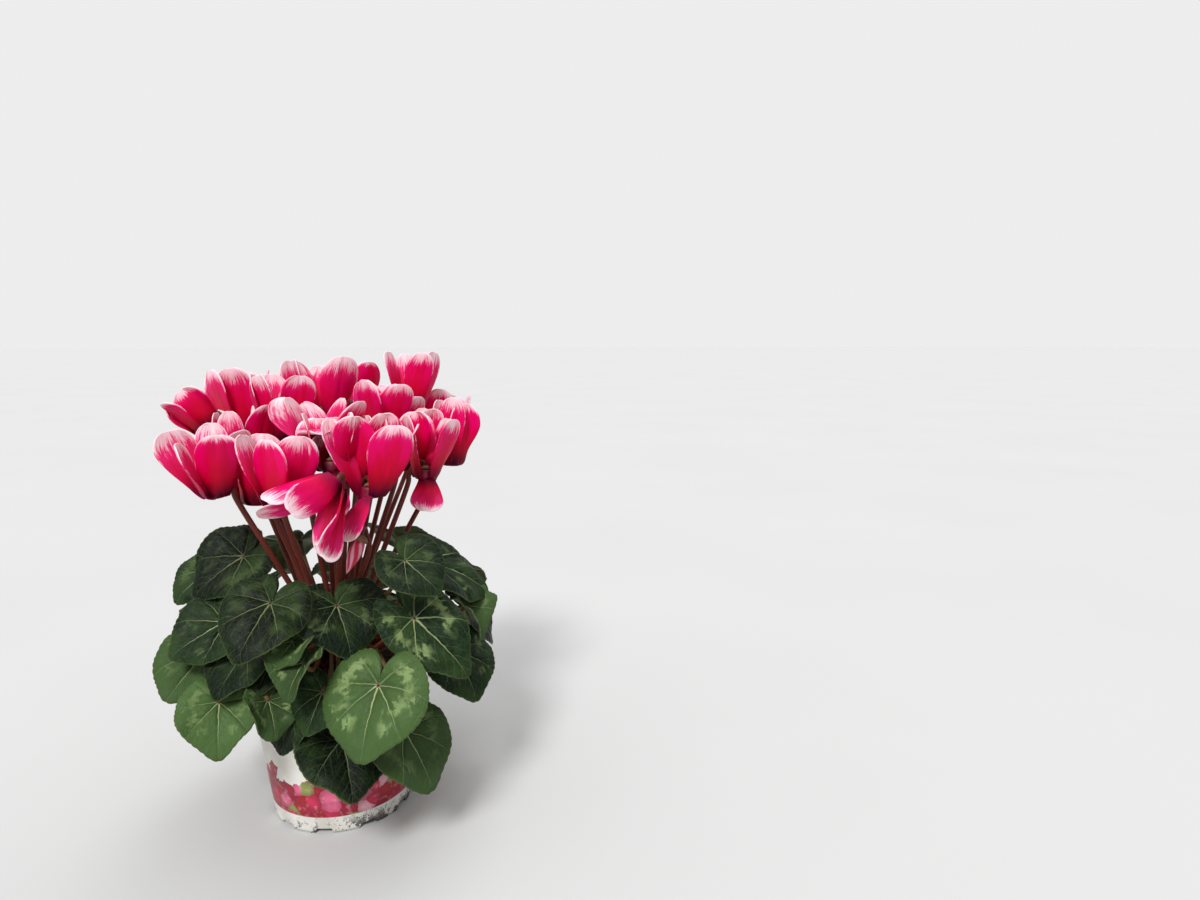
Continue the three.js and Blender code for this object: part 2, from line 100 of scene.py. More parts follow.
LEAVES = {
    "front_heart": Leaf((18, -85, 102), (5, -105, 75), "low", 0.6, 1.0, wide=1.06, cup=-0.06, crumple=0.4),
    "front_low_right": Leaf((30, -66, 67), (46, -84, 44), "low", 0.4, 0.3, wide=1.12),
    "front_low": Leaf((0, -63, 66), (4, -92, 50), "low", -1.0, 0.0),
    "front_low_left": Leaf((-24, -57, 80), (-31, -65, 64), "low", -0.6, 0.0, swing=-6),
    "front_round": Leaf((-8, -66, 94), (-18, -78, 79), "middle", -0.1, 0.1, swing=-5, cup=0.2, crumple=1.6),
    "front_curled": Leaf(
        (-16, -70, 112), (-26, -83, 102), "high", 0.4, 0.9, swing=-14, cup=0.7, crumple=3, fold=0.35
    ),
    "front_wide": Leaf((0, -53, 134), (7, -73, 115), "middle", -0.5, 0.3, wide=1.2, swing=6),
    "right_large": Leaf((38, -62, 126), (64, -82, 102), "middle", 0.0, 0.9, wide=0.7, roll=34),
    "right_round": Leaf((34, -65, 158), (50, -79, 145), "high", -0.4, 0.2, roll=25),
    "right_long": Leaf((50, -28, 146), (88, -22, 128), "middle", -0.2, 0.6, wide=0.8, roll=25),
    "right_far": Leaf((73, -4, 112), (93, -10, 90), "low", -0.5, 0.1),
    "right_low": Leaf((62, -34, 95), (73, -56, 76), "low", -0.1, 0.4),
    "left_dark": Leaf((-31, -57, 140), (-47, -79, 122), "middle", -1.0, 0.1, wide=0.92, roll=-15, swing=-5),
    "left_back": Leaf((-47, -6, 152), (-74, -15, 138), "high", -0.8, 0.15, roll=-30),
    "left_middle": Leaf((-56, -28, 123), (-82, -38, 113), "middle", -0.1, 0.3, roll=-30),
    "left_low": Leaf((-67, -17, 104), (-84, -41, 92), "low", 0.5, 0.3, roll=-15),
    "left_front": Leaf((-58, -50, 89), (-58, -70, 71), "low", 0.7, 0.6, crumple=2),
    "left_under": Leaf((-44, -42, 112), (-60, -60, 98), "high", -0.6, 0.1),
    "rear_right": Leaf((62, 34, 124), (88, 48, 102), "middle", -0.2, 0.6),
    "rear_right_high": Leaf((40, 46, 143), (62, 70, 124), "high", -0.1, 0.7),
    "rear_right_low": Leaf((46, 60, 92), (62, 86, 68), "low", 0.1, 0.5),
    "rear_middle": Leaf((14, 62, 118), (20, 98, 98), "middle", 0.0, 0.9),
    "rear_middle_low": Leaf((-4, 73, 80), (-6, 111, 61), "low", -0.2, 0.5),
    "rear_left_high": Leaf((-20, 56, 144), (-34, 86, 128), "high", -0.3, 0.7),
    "rear_left": Leaf((-46, 54, 116), (-68, 80, 94), "middle", 0.1, 0.8),
    "left_rear": Leaf((-60, 22, 128), (-88, 30, 112), "low", -0.2, 0.4),
}

# Smaller leaves that fill the crown between those, with no node of their own.
FILLER_LEAVES = {
    "left_far": Leaf((-66, 6, 143), (-84, -4, 132), "high", 0.1, 0.2, roll=-20),
    "left_front_young": Leaf(
        (-35, -58, 90), (-30, -71, 76), "high", 0.4, 0.9, roll=-12, swing=-4, cup=0.5, crumple=3
    ),
    "inner_small": Leaf((-33, -47, 106), (-40, -60, 96), "middle", -0.4, 0.1),
    "curled_young": Leaf(
        (-21, -64, 121), (-31, -75, 114), "high", 0.5, 1.0, roll=-20, cup=0.6, crumple=4, fold=0.3
    ),
    "right_curled": Leaf((70, -28, 118), (82, -38, 106), "middle", 0.5, 0.3, cup=0.6, crumple=3, fold=0.3),
    "rear_inner": Leaf((6, 34, 132), (8, 56, 124), "high", -0.4, 0.4),
    "rear_gap": Leaf((-20, 56, 106), (-28, 82, 88), "middle", -0.1, 0.5),
    "rear_low_left": Leaf((-36, 64, 82), (-50, 88, 60), "low", 0.1, 0.7),
    "rear_side_right": Leaf((66, 44, 88), (82, 64, 66), "low", -0.3, 0.3),
    "rear_side_left": Leaf((-64, 40, 94), (-82, 58, 72), "low", 0.0, 0.6),
    "side_low_left": Leaf((-72, 8, 94), (-88, 2, 70), "low", -0.4, 0.3),
    "side_low_right": Leaf((70, 20, 96), (88, 28, 74), "low", -0.1, 0.5),
    "rear_far_right": Leaf((72, 8, 134), (90, 16, 120), "high", -0.3, 0.5),
}

# A flower: the centre of its mouth, the middle of its petal tips, how far they spread, a
# petal's widest part, the side that its stalk comes in from, in degrees, and where that
# starts on the tuber. wavy is how ruffled its petals are. hangs numbers the petals that
# hang down, hang is how far they do, and flops numbers those that fold over at the end.
Flower = namedtuple(
    "Flower",
    "mouth top spread petal stalk_from base wavy hangs hang flops",
    defaults=(1, (), 0.48, ()),
)

FLOWERS = {
    "left_high": Flower((-60, -2, 224), (-75, -2, 242), 9, 15, -10, (-8.5, 1)),
    "left_front": Flower((-54, -38, 193), (-58, -42, 226), 16, 21, 35, (-7, -5.5)),
    "left_inner": Flower((-38, -20, 184), (-36, -18, 217), 12, 17, 20, (-5, -2)),
    "left_rear": Flower((-46, 28, 215), (-48, 32, 252), 16, 21, -35, (-6.5, 5)),
    "middle_left": Flower((-24, -5, 216), (-24, 0, 252), 14, 21, 0, (-1.8, -0.5)),
    "middle_high": Flower((-3, 22, 221), (-3, 26, 260), 15, 22, -90, (-0.8, 3.6)),
    "rear_high": Flower((15, 58, 222), (16, 64, 254), 15, 20, -100, (1.8, 8)),
    "middle_right": Flower((28, 4, 211), (30, 4, 247), 15, 21, 180, (3, 0.8)),
    "right_high": Flower((50, 40, 227), (52, 44, 262), 12, 17, 220, (5.5, 5.5)),
    "front_right": Flower((19, -50, 190), (21, -47, 231), 20, 21, 121, (3.6, -6.2), hangs=(1,)),
    "right_front": Flower((50, -20, 193), (54, -19, 229), 15, 18, 160, (7, -3.5), hangs=(1,)),
    "right_far": Flower((70, 12, 195), (73, 14, 236), 10, 17, 190, (8.5, 1.5)),
    "rear_right": Flower((61, 66, 203), (67, 72, 235), 14, 19, 225, (5, 9)),
    "front_left": Flower((-25, -55, 188), (-22, -51, 223), 16, 21, 70, (-3.5, -8)),
    "front_drooping": Flower((2, -69, 202), (-19, -82, 183), 19, 17, 70, (-0.6, -9.3), wavy=4),
}

# Blooms that fill the canopy between those, with no node of their own.
FILLER_FLOWERS = {
    "inner_left": Flower((-43, -10, 201), (-44, -8, 234), 14, 18, 15, (-7.5, -2.5)),
    "inner_middle": Flower((-2, -25, 205), (-1, -23, 241), 15, 21, -60, (0.5, 0.2), flops=(4,)),
    "inner_right": Flower((36, 24, 203), (38, 26, 238), 14, 18, 200, (4.5, 2.8)),
    "inner_near": Flower((14, -34, 195), (13, -30, 231), 12, 19, 100, (2.2, -2.6)),
    "inner_front": Flower((44, -6, 196), (42, -2, 230), 14, 18, 170, (5, -1)),
    "hanging": Flower((1, -42, 203), (2, -38, 232), 12, 20, 84, (0.6, -3), hangs=(2,), hang=0.85),
    "rear_left": Flower((-22, 55, 206), (-26, 60, 240), 15, 20, -65, (-2, 7)),
}

BUD_TOP = Vector((14, -52, 169))
BUD_TIP = Vector((5, -57, 151))
BUD_RADIUS = 3.9
BUD_STALK_FROM = 60
BUD_BASE = (0.3, -4.2)
# Points that its stalk's hook passes, out from and above its top.
BUD_HOOK = ((5, -12), (5, 1), (2.6, 4.6), (0.4, 3), (0, 0))

# ------------------------------ camera

CAMERA_PLACE = (0, -0.4734, 0.270)
CAMERA_PITCH = 7.8
CAMERA_YAW = 18.86
CAMERA_LENS = 24
CAMERA_SENSOR = 36
CAMERA_NEAR = 0.02

lens = bpy.data.cameras.new("camera")
lens.lens = CAMERA_LENS
lens.sensor_width = CAMERA_SENSOR
lens.clip_start = CAMERA_NEAR
camera = bpy.data.objects.new("camera", lens)
camera.location = CAMERA_PLACE
camera.rotation_euler = (math.radians(90 - CAMERA_PITCH), 0, math.radians(-CAMERA_YAW))
bpy.context.scene.collection.objects.link(camera)
bpy.context.scene.camera = camera

# ------------------------------ making materials


def srgb(red, green, blue):
    """A colour as it is seen, 0 to 255, as the linear colour that a socket takes."""
    seen = (red / 255, green / 255, blue / 255)
    return (*(c / 12.92 if c <= 0.04045 else ((c + 0.055) / 1.055) ** 2.4 for c in seen), 1.0)


class Value:
    """What a node puts out. Arithmetic with it adds the nodes that work the result out."""

    def __init__(self, nodes, socket):
        self.nodes = nodes
        self.socket = socket

    def __add__(self, other):
        return self.nodes.maths("ADD", self, other)

    def __sub__(self, other):
        return self.nodes.maths("SUBTRACT", self, other)

    def __rsub__(self, other):
        return self.nodes.maths("SUBTRACT", other, self)

    def __mul__(self, other):
        return self.nodes.maths("MULTIPLY", self, other)

    def __truediv__(self, other):
        return self.nodes.maths("DIVIDE", self, other)

    def __pow__(self, power):
        return self.nodes.maths("POWER", self, power)


class Nodes:
    """Places nodes in one shader tree and joins them. Where inputs are given by name, an
    underscore stands for each space."""

    def __init__(self, tree):
        self.tree = tree

    def put(self, node, inputs):
        """Joins values to a node's inputs, or sets those to plain numbers and colours."""
        for label, value in inputs.items():
            socket = node.inputs[label.replace("_", " ") if isinstance(label, str) else label]
            if isinstance(value, Value):
                self.tree.links.new(value.socket, socket)
            else:
                socket.default_value = value

    def add(self, kind, inputs, **settings):
        """Adds a node and returns all that it puts out, by name."""
        node = self.tree.nodes.new("ShaderNode" + kind)
        for name, value in settings.items():
            setattr(node, name, value)
        self.put(node, inputs)
        return self.outputs(node)

    def outputs(self, node):
        return {socket.name: Value(self, socket) for socket in node.outputs if socket.enabled}

    def maths(self, operation, *values):
        return self.add("Math", dict(enumerate(values)), operation=operation)["Value"]

    def step(self, value, low, high, out_low=0.0, out_high=1.0):
        """Runs smoothly from out_low to out_high as value goes from low to high."""
        inputs = dict(Value=value, From_Min=low, From_Max=high, To_Min=out_low, To_Max=out_high)
        return self.add("MapRange", inputs, interpolation_type="SMOOTHSTEP")["Result"]

    def mix(self, share, first, second):
        # Sockets 0, 6 and 7 are the share and the two colours. Their names aren't unique.
        return self.add("Mix", {0: share, 6: first, 7: second}, data_type="RGBA")["Result"]

    def coats(self, colour, *coats):
        """Colours laid one over the other, each as its share and the colour."""
        for share, coat in coats:
            colour = self.mix(share, colour, coat)
        return colour

    def noise(self, place, scale, detail=2.0, roughness=0.5, output="Fac"):
        inputs = dict(Vector=place, Scale=scale, Detail=detail, Roughness=roughness)
        return self.add("TexNoise", inputs)[output]

    def cells(self, place, scale, feature="F1"):
        return self.add("TexVoronoi", dict(Vector=place, Scale=scale), feature=feature)

    def join(self, x, y, z=0.0):
        return self.add("CombineXYZ", dict(X=x, Y=y, Z=z))["Vector"]

    def split(self, vector):
        return self.add("SeparateXYZ", dict(Vector=vector)).values()

    def attribute(self, name):
        return self.add("Attribute", {}, attribute_name=name)["Fac"]

    def place(self):
        return self.add("TexCoord", {})["Object"]

    def uv(self):
        return self.add("UVMap", {}, uv_map="UVMap")["UV"]

    def group(self, tree, **inputs):
        return self.add("Group", inputs, node_tree=tree)

    def bump(self, height, strength, distance):
        return self.add("Bump", dict(Height=height, Strength=strength, Distance=distance))["Normal"]


class Group(Nodes):
    """A node group: inputs are names with their starting values, outputs are names."""

    def __init__(self, name, inputs, outputs):
        super().__init__(bpy.data.node_groups.new(name, "ShaderNodeTree"))
        sockets = self.tree.interface
        for label, value in inputs.items():
            kind = "NodeSocketVector" if isinstance(value, tuple) else "NodeSocketFloat"
            sockets.new_socket(label, in_out="INPUT", socket_type=kind).default_value = value
        for label in outputs:
            sockets.new_socket(label, in_out="OUTPUT", socket_type="NodeSocketFloat")
        self.given = self.outputs(self.tree.nodes.new("NodeGroupInput"))

    def finish(self, **results):
        self.put(self.tree.nodes.new("NodeGroupOutput"), results)
        return self.tree


class Finish(Nodes):
    """A material with one Principled shader, whose sockets are given by name."""

    def __init__(self, name, **sockets):
        self.material = bpy.data.materials.new(name)
        self.material.use_nodes = True
        super().__init__(self.material.node_tree)
        self.finish(**sockets)

    def finish(self, **sockets):
        self.put(self.tree.nodes["Principled BSDF"], sockets)
        return self.material


def make_grain_group():
    """Soft mottling: a share for colour and a height for bump, at a given size."""
    nodes = Group("grain", {"Place": (0.0, 0.0, 0.0), "Scale": 100.0}, ["Share", "Height"])
    place, scale = nodes.given["Place"], nodes.given["Scale"]
    broad = nodes.noise(place, scale, 3)
    fine = nodes.noise(place, scale * 4.3, 2)
    return nodes.finish(Share=nodes.step(broad, 0.32, 0.68), Height=broad + fine * 0.4)


# A leaf's UV map shows a square this many midrib lengths wide, with the joint this far up.
UV_SPAN = 2.4
UV_BACK = 0.9
# The angle between main veins at the joint, in radians, how much they bend forwards and
# wander, and how far apart the side veins are along them, in midrib lengths.
VEIN_SPACING = 0.8
VEIN_BEND = 0.24
VEIN_WANDER = 0.05
SIDE_VEIN_SPACING = 0.17
SIDE_VEIN_SLANT = 1.15


def make_vein_group():
    """A leaf's veins: main ones that radiate from the joint and bend towards the tip, and
    side ones in a herringbone along each. Along and Across are in midrib lengths. Finger
    is how far a point is from the nearest side vein, in spacings."""
    nodes = Group(
        "leaf veins", {"Along": 0.0, "Across": 0.0, "Width": 0.013}, ["Main", "Side", "Finger"]
    )
    m, step = nodes.maths, nodes.step
    along, across, width = (nodes.given[label] for label in ("Along", "Across", "Width"))
    place = nodes.join(along, across)
    along = along + (nodes.noise(place, 5.0) - 0.5) * VEIN_WANDER
    across = across + (nodes.noise(place, 6.0) - 0.5) * VEIN_WANDER
    reach = m("SQRT", along * along + across * across)
    angle = m("ARCTAN2", m("ABSOLUTE", across), along)
    turns = (angle + reach * VEIN_BEND * m("SINE", angle)) / VEIN_SPACING
    off = m("ABSOLUTE", (turns - m("ROUND", turns)) * VEIN_SPACING)
    sideways = reach * m("SINE", off)
    lengthways = reach * m("COSINE", off)
    thick = width * (1.25 - reach) * step(angle, 0.15, 0.9, 1.0, 0.65)
    main = step(sideways, thick, thick * 0.35) * step(angle, 0.9, 2.2, 1.0, 0.35)
    rungs = (lengthways - sideways * SIDE_VEIN_SLANT) / SIDE_VEIN_SPACING
    finger = m("ABSOLUTE", rungs - m("ROUND", rungs))
    side = step(finger * 0.12, width * 0.5, width * 0.15) * step(lengthways, 0.1, 0.2)
    side = side * step(sideways, 0.3, 0.02, 0.25, 1.0)
    return nodes.finish(Main=main, Side=side, Finger=finger)


def make_leaf_plane_group():
    """Where a point is on its blade, in midrib lengths, from the blade's UV map."""
    nodes = Group("leaf plane", {"Map": (0.0, 0.0, 0.0)}, ["Along", "Across"])
    x, y, _ = nodes.split(nodes.given["Map"])
    return nodes.finish(Along=y * UV_SPAN - UV_BACK, Across=x * UV_SPAN - UV_SPAN / 2)


# A petal keeps its width up to this share of its length, then rounds off like this.
ROUND_FROM = 0.7
ROUND_TO = 0.985
ROUND_POWER = 2.4
ROUND_ROOT = 0.42
# How deep the white reaches from a petal's round end and from its sides.
END_REACH = 0.33
SIDE_REACH = 0.2


def make_petal_marks_group():
    """Marks that both faces of a petal share, from its map: Feather, the white brushed
    down from its round end and sides, Streak, fine lengthwise lines, and Blush."""
    nodes = Group(
        "petal marks", {"Map": (0.0, 0.0, 0.0), "Seed": 0.0, "Reach": 0.0}, ["Feather", "Streak", "Blush"]
    )
    m, step = nodes.maths, nodes.step
    x, y, _ = nodes.split(nodes.given["Map"])
    seed = nodes.given["Seed"]

    def brushed(across, along, detail, roughness=0.5):
        return nodes.noise(nodes.join(x * across, y * along, seed * 7.0), 1.0, detail, roughness)

    brush, broad, fleck = brushed(26.0, 3.4, 5, 0.72), brushed(4.0, 2.6, 3), brushed(40.0, 16.0, 3, 0.6)
    side = m("ABSOLUTE", x * 2.0 - 1.0)
    # How far inside the outline, as shares of how deep the white reaches from the round
    # end and from the sides, joined so that its edge turns the corner smoothly.
    rounding = m("MAXIMUM", (y - ROUND_FROM) / (1 - ROUND_FROM), 0.0) * ROUND_TO
    narrowed = (1.0 - rounding**ROUND_POWER) ** ROUND_ROOT
    reach = nodes.given["Reach"] + 1.0 + (seed - 0.5) * 0.9
    end = (1.0 - y) / (reach * END_REACH)
    border = (1.0 - side) * narrowed / step(y, 0.4, 0.95, 0.06, SIDE_REACH)
    at_end, at_side = (m("MAXIMUM", 1.0 - inside, 0.0) for inside in (end, border))
    at_side = at_side * (step(y, 0.3, 0.8) * step(broad, 0.3, 0.7, 0.3, 1.0))
    near = m("SQRT", at_end * at_end + at_side * at_side)
    ragged = (brush - 0.5) * 1.3 + (broad - 0.5) * 0.8 + (fleck - 0.5) * 0.5
    feather = step(near + ragged * step(near, 0.05, 0.5), 0.2, 1.08)
    blush = step(broad + side * 0.2, 0.42, 0.75)
    return nodes.finish(Feather=feather, Streak=step(brush, 0.52, 0.7), Blush=blush)


GRAIN = make_grain_group()
VEINS = make_vein_group()
LEAF_PLANE = make_leaf_plane_group()
PETAL_MARKS = make_petal_marks_group()


def leaf_marks(nodes, vein_width):
    """What both faces of a leaf read: where on it, its veins, and a place for noise that
    differs from leaf to leaf."""
    plane = nodes.group(LEAF_PLANE, Map=nodes.uv())
    veins = nodes.group(VEINS, **plane, Width=vein_width)
    return plane, veins, nodes.join(plane["Along"], plane["Across"], nodes.attribute("tone"))


def leaf_top_material():
    nodes = Finish(
        "leaf top", Specular_IOR_Level=0.12, Subsurface_Weight=0.03, Subsurface_Scale=0.002
    )
    step = nodes.step
    plane, veins, here = leaf_marks(nodes, 0.0155)
    share, tone, silver = (nodes.attribute(name) for name in ("share", "tone", "silver"))
    grain = nodes.group(GRAIN, Place=here, Scale=5.0)
    # The marbling is a horseshoe between the joint and the margin, with fingers that
    # follow the side veins.
    rough_edge = (nodes.noise(here, 14.0, 4, 0.68) - 0.5) * 0.5
    edge = share + (rough_edge + (veins["Finger"] - 0.25) * 0.24)
    angle = nodes.maths("ARCTAN2", nodes.maths("ABSOLUTE", plane["Across"]), plane["Along"])
    band = step(edge, 0.42, 0.58) * step(edge, 0.77, 0.7)
    band = band * step(angle, 0.2, 0.5) * step(angle, 2.7, 2.1, 0.15, 1.0)
    band = band * step(nodes.noise(here, 3.2, 3), 0.4, 0.58) * silver
    net = step(nodes.cells(here, 15.0, "DISTANCE_TO_EDGE")["Distance"], 0.09, 0.0)
    # Main veins fade towards the margin and on leaves of low tone; that dimming is painted shade, like the
    # deep coat below.
    main = veins["Main"] * (step(share, 0.95, 0.25, 0.3, 0.85) * step(tone, -0.8, 0.1, 0.5, 1.0))
    green = nodes.coats(
        nodes.mix(grain["Share"], srgb(12, 27, 15), srgb(29, 50, 24)),
        (step(tone, 0.1, -0.8), srgb(9, 18, 10)),  # deep bluish green, with painted shade on leaves that lie in shade
        (step(tone, 0.0, 1.0), srgb(80, 108, 58)),  # young
        (step(share, 0.35, 0.05, 0.0, 0.3), srgb(14, 28, 16)),  # painted shade in the dip round the joint
        (step(nodes.noise(here, 1.6, 2), 0.45, 0.7, 0.0, 0.4), srgb(54, 78, 34)),  # patches
        (band * 0.82, srgb(130, 152, 98)),
        (net * 0.1, srgb(86, 106, 66)),
        (veins["Side"] * 0.27, srgb(96, 118, 74)),
        (main, srgb(160, 172, 124)),
        (step(share, 0.965, 0.995, 0.0, 0.35), srgb(92, 108, 60)),  # margin
        (step(share, 0.035, 0.012), srgb(80, 26, 22)),  # joint
    )
    relief = grain["Height"] - (veins["Main"] + (veins["Side"] * 0.6 + net * 0.25)) * 0.5
    return nodes.finish(
        Base_Color=green,
        Roughness=step(grain["Share"], 0.0, 1.0, 0.42, 0.54),
        Normal=nodes.bump(relief, 0.75, 0.0008),
    )


def leaf_underside_material():
    nodes = Finish("leaf underside", Roughness=0.55)
    _, veins, here = leaf_marks(nodes, 0.026)
    grain = nodes.group(GRAIN, Place=here, Scale=4.0)
    green = nodes.coats(
        nodes.mix(grain["Share"], srgb(82, 104, 50), srgb(102, 118, 60)),
        (nodes.step(nodes.noise(here, 2.2), 0.5, 0.66, 0.0, 0.5), srgb(104, 62, 52)),  # red patches
        (veins["Main"] * 0.7, srgb(146, 138, 92)),
        (veins["Side"] * 0.35, srgb(128, 134, 82)),
    )
    relief = grain["Height"] + (veins["Main"] + veins["Side"] * 0.5)
    return nodes.finish(Base_Color=green, Normal=nodes.bump(relief, 0.5, 0.0005))


def mottled_material(name, roughness, scale, dark, light, bump=None):
    """Two tones mottled at a scale. bump is how strong and how deep its relief is."""
    nodes = Finish(name, Roughness=roughness)
    grain = nodes.group(GRAIN, Place=nodes.place(), Scale=scale)
    if bump:
        nodes.finish(Normal=nodes.bump(grain["Height"], *bump))
    return nodes.finish(Base_Color=nodes.mix(grain["Share"], dark, light))


def stalk_material(name, low, high):
    """Brown-red stems: fine lengthwise streaks, rusty at the foot and darker above."""
    nodes = Finish(name, Roughness=0.42, Specular_IOR_Level=0.25)
    x, y, _ = nodes.split(nodes.uv())
    streak = nodes.group(GRAIN, Place=nodes.join(x * 6.0, y * 3.0), Scale=3.0)
    colour = nodes.mix(nodes.step(y, 0.0, 0.85), low, high)
    colour = nodes.mix(streak["Share"] * 0.3, colour, srgb(128, 62, 42))
    return nodes.finish(Base_Color=colour, Normal=nodes.bump(streak["Height"], 0.35, 0.0004))


def petal_material(name, heart, body, rosy, white, reach, roughness):
    """Dark at the mouth, then its body colour, rosier above, with a feathered end. reach
    is how much further down than usual the white comes."""
    heart, body, rosy, white = (srgb(*colour) for colour in (heart, body, rosy, white))
    nodes = Finish(
        name, Roughness=roughness, Specular_IOR_Level=0.1, Subsurface_Weight=0.2, Subsurface_Scale=0.003
    )
    step = nodes.step
    _, y, _ = nodes.split(nodes.uv())
    pale = nodes.attribute("pale")
    marks = nodes.group(PETAL_MARKS, Map=nodes.uv(), Seed=pale, Reach=reach)
    blush, streak, feather = marks["Blush"], marks["Streak"], marks["Feather"]
    colour = nodes.coats(
        nodes.mix(step(y, 0.15, 0.52), heart, body),
        (step(y, 0.3, 0.9) * step(blush, 0.0, 1.0, 0.4, 1.0), rosy),
        (streak * 0.35, rosy),
        (step(y, 0.75, 0.2) * (1.0 - blush) * 0.4, srgb(150, 0, 30)),  # shadow
        (step(pale, 0.5, 1.0, 0.0, 0.3), rosy),
        (step(feather, 0.0, 0.6), srgb(232, 36, 122)),  # pink before the white
        (step(feather, 0.3, 1.0, 0.0, 0.94), white),
    )
    return nodes.finish(Base_Color=colour, Normal=nodes.bump(streak, 0.15, 0.0003))


def bud_material():
    """Furled petals: pale pink flutes with red between them."""
    nodes = Finish("bud", Roughness=0.5, Subsurface_Weight=0.12, Subsurface_Scale=0.003)
    x, y, _ = nodes.split(nodes.uv())
    spiral = nodes.maths("SINE", (x + y * 0.35) * (10 * math.pi))
    wander = nodes.noise(nodes.join(x * 30.0, y), 1.0) * 1.2
    colour = nodes.mix(nodes.step(spiral + wander, -0.4, 1.1), srgb(240, 170, 190), srgb(206, 10, 66))
    colour = nodes.mix(nodes.step(y, 0.75, 1.0, 0.0, 0.6), colour, srgb(250, 226, 224))
    return nodes.finish(Base_Color=colour, Normal=nodes.bump(spiral, 0.4, 0.0006))


# The printed band's colours, each with where it starts on a scale of 0 to 1.
INKS = (
    (0.0, srgb(176, 24, 40)),
    (0.26, srgb(206, 44, 84)),
    (0.45, srgb(226, 104, 142)),
    (0.62, srgb(160, 16, 52)),
    (0.76, srgb(238, 176, 190)),
    (0.87, srgb(140, 160, 82)),
)
# Where the band ends, in metres above the foot, and how far its motifs bend and stand up.
BAND_TOP = 0.04
BAND_BOTTOM = 0.01
MOTIF_BEND = 0.008
MOTIF_HEIGHT = 0.008


def printed_band(nodes, place, height):
    """A band of loose petal shapes: how much of it is at a place, and its colour there."""
    warp = nodes.noise(place, 120.0, 3.0, output="Color")
    bends = {0: warp, 1: (MOTIF_BEND, MOTIF_BEND, MOTIF_BEND), 2: place}
    bent = nodes.add("VectorMath", bends, operation="MULTIPLY_ADD")["Vector"]
    motifs = nodes.cells(bent, 124.0)
    pick, _, _ = nodes.split(motifs["Color"])
    _, _, motif_place = nodes.split(motifs["Position"])
    ramp = nodes.tree.nodes.new("ShaderNodeValToRGB")
    ramp.color_ramp.interpolation = "CONSTANT"
    for _ in INKS[2:]:
        ramp.color_ramp.elements.new(0.5)
    for element, (start, ink) in zip(ramp.color_ramp.elements, INKS):
        element.position = start
        element.color = ink
    nodes.put(ramp, dict(Fac=pick))
    ink = nodes.coats(
        nodes.outputs(ramp)["Color"],
        (nodes.step(motifs["Distance"], 0.1, 0.75, 0.0, 0.55), srgb(120, 10, 34)),  # outlines
        (nodes.step(nodes.noise(place, 300.0, 3), 0.52, 0.75, 0.0, 0.3), srgb(246, 200, 208)),
    )
    top = nodes.step(motif_place + pick * MOTIF_HEIGHT, BAND_TOP + 0.0002, BAND_TOP)
    return top * nodes.step(height, BAND_BOTTOM - 0.0002, BAND_BOTTOM + 0.0003), ink


def splashed_soil(nodes, place, height):
    """How much dried soil is at a place: specks and smears that thin out upwards."""
    low = nodes.step(height, 0.013, 0.001)
    amount = nodes.step(nodes.noise(place, 70.0, 3, 0.6), 0.38, 0.6) * (low * 0.55 + 0.16)
    specks = nodes.step(nodes.cells(place, 700.0)["Distance"], amount * 0.75 + 0.05, amount * 0.6)
    smear = nodes.step(nodes.noise(place, 240.0, 5, 0.72) + amount * 0.3, 0.62, 0.66)
    return nodes.maths("MAXIMUM", specks, smear * low)


def pot_material():
    """White plastic with a printed band and splashes of soil."""
    nodes = Finish("pot plastic", Subsurface_Weight=0.05, Subsurface_Scale=0.002)
    place = nodes.place()
    _, _, height = nodes.split(place)
    grain = nodes.group(GRAIN, Place=place, Scale=60.0)
    dirt = splashed_soil(nodes, place, height)
    colour = nodes.coats(
        nodes.mix(grain["Share"], srgb(220, 217, 208), srgb(236, 234, 228)),
        printed_band(nodes, place, height),
        (dirt * 0.9, srgb(50, 36, 28)),
    )
    return nodes.finish(
        Base_Color=colour,
        Roughness=nodes.step(dirt, 0.0, 1.0, 0.36, 0.8),
        Normal=nodes.bump(grain["Height"] + dirt, 0.25, 0.0003),
    )


def soil_material():
    """Peat with crumbs and a few white grains of perlite."""
    nodes = Finish("peat", Roughness=0.95)
    place = nodes.place()
    clod, crumb = (nodes.group(GRAIN, Place=place, Scale=scale) for scale in (130.0, 650.0))
    grains = nodes.cells(place, 260.0)
    pick, _, _ = nodes.split(grains["Color"])
    colour = nodes.coats(
        nodes.mix(clod["Share"], srgb(34, 23, 17), srgb(64, 44, 32)),
        (crumb["Share"] * 0.5, srgb(92, 66, 46)),
        (nodes.step(pick, 0.93, 0.95) * nodes.step(grains["Distance"], 0.3, 0.24), srgb(190, 184, 170)),
    )
    relief = clod["Height"] + crumb["Height"]
    return nodes.finish(Base_Color=colour, Normal=nodes.bump(relief, 1.0, 0.0016))


LEAF_FINISHES = [
    leaf_top_material(),
    leaf_underside_material(),
    mottled_material("leaf edge", 0.5, 300.0, srgb(46, 66, 32), srgb(82, 98, 52)),
]
PETIOLE = stalk_material("petiole", srgb(126, 62, 40), srgb(98, 84, 52))
STALK = stalk_material("flower stalk", srgb(112, 44, 32), srgb(72, 24, 24))
PETAL_FINISHES = [
    petal_material("petal", (58, 0, 30), (198, 0, 38), (224, 0, 104), (252, 220, 228), -0.1, 0.5),
    petal_material(
        "petal inner face", (76, 0, 30), (204, 0, 54), (226, 44, 124), (252, 224, 230), 0.25, 0.55
    ),
]
TUBE = mottled_material("petal tube", 0.5, 260.0, srgb(92, 6, 44), srgb(150, 10, 54), (0.3, 0.0004))
CALYX = mottled_material("calyx", 0.55, 420.0, srgb(92, 78, 44), srgb(128, 88, 58), (0.4, 0.0004))
BUD_PETALS = bud_material()
POT_PLASTIC = pot_material()
PEAT = soil_material()
CORK = mottled_material(
    "corky tuber", 0.85, 240.0, srgb(62, 40, 28), srgb(116, 80, 54), (0.9, 0.0012)
)

# ------------------------------ making pieces

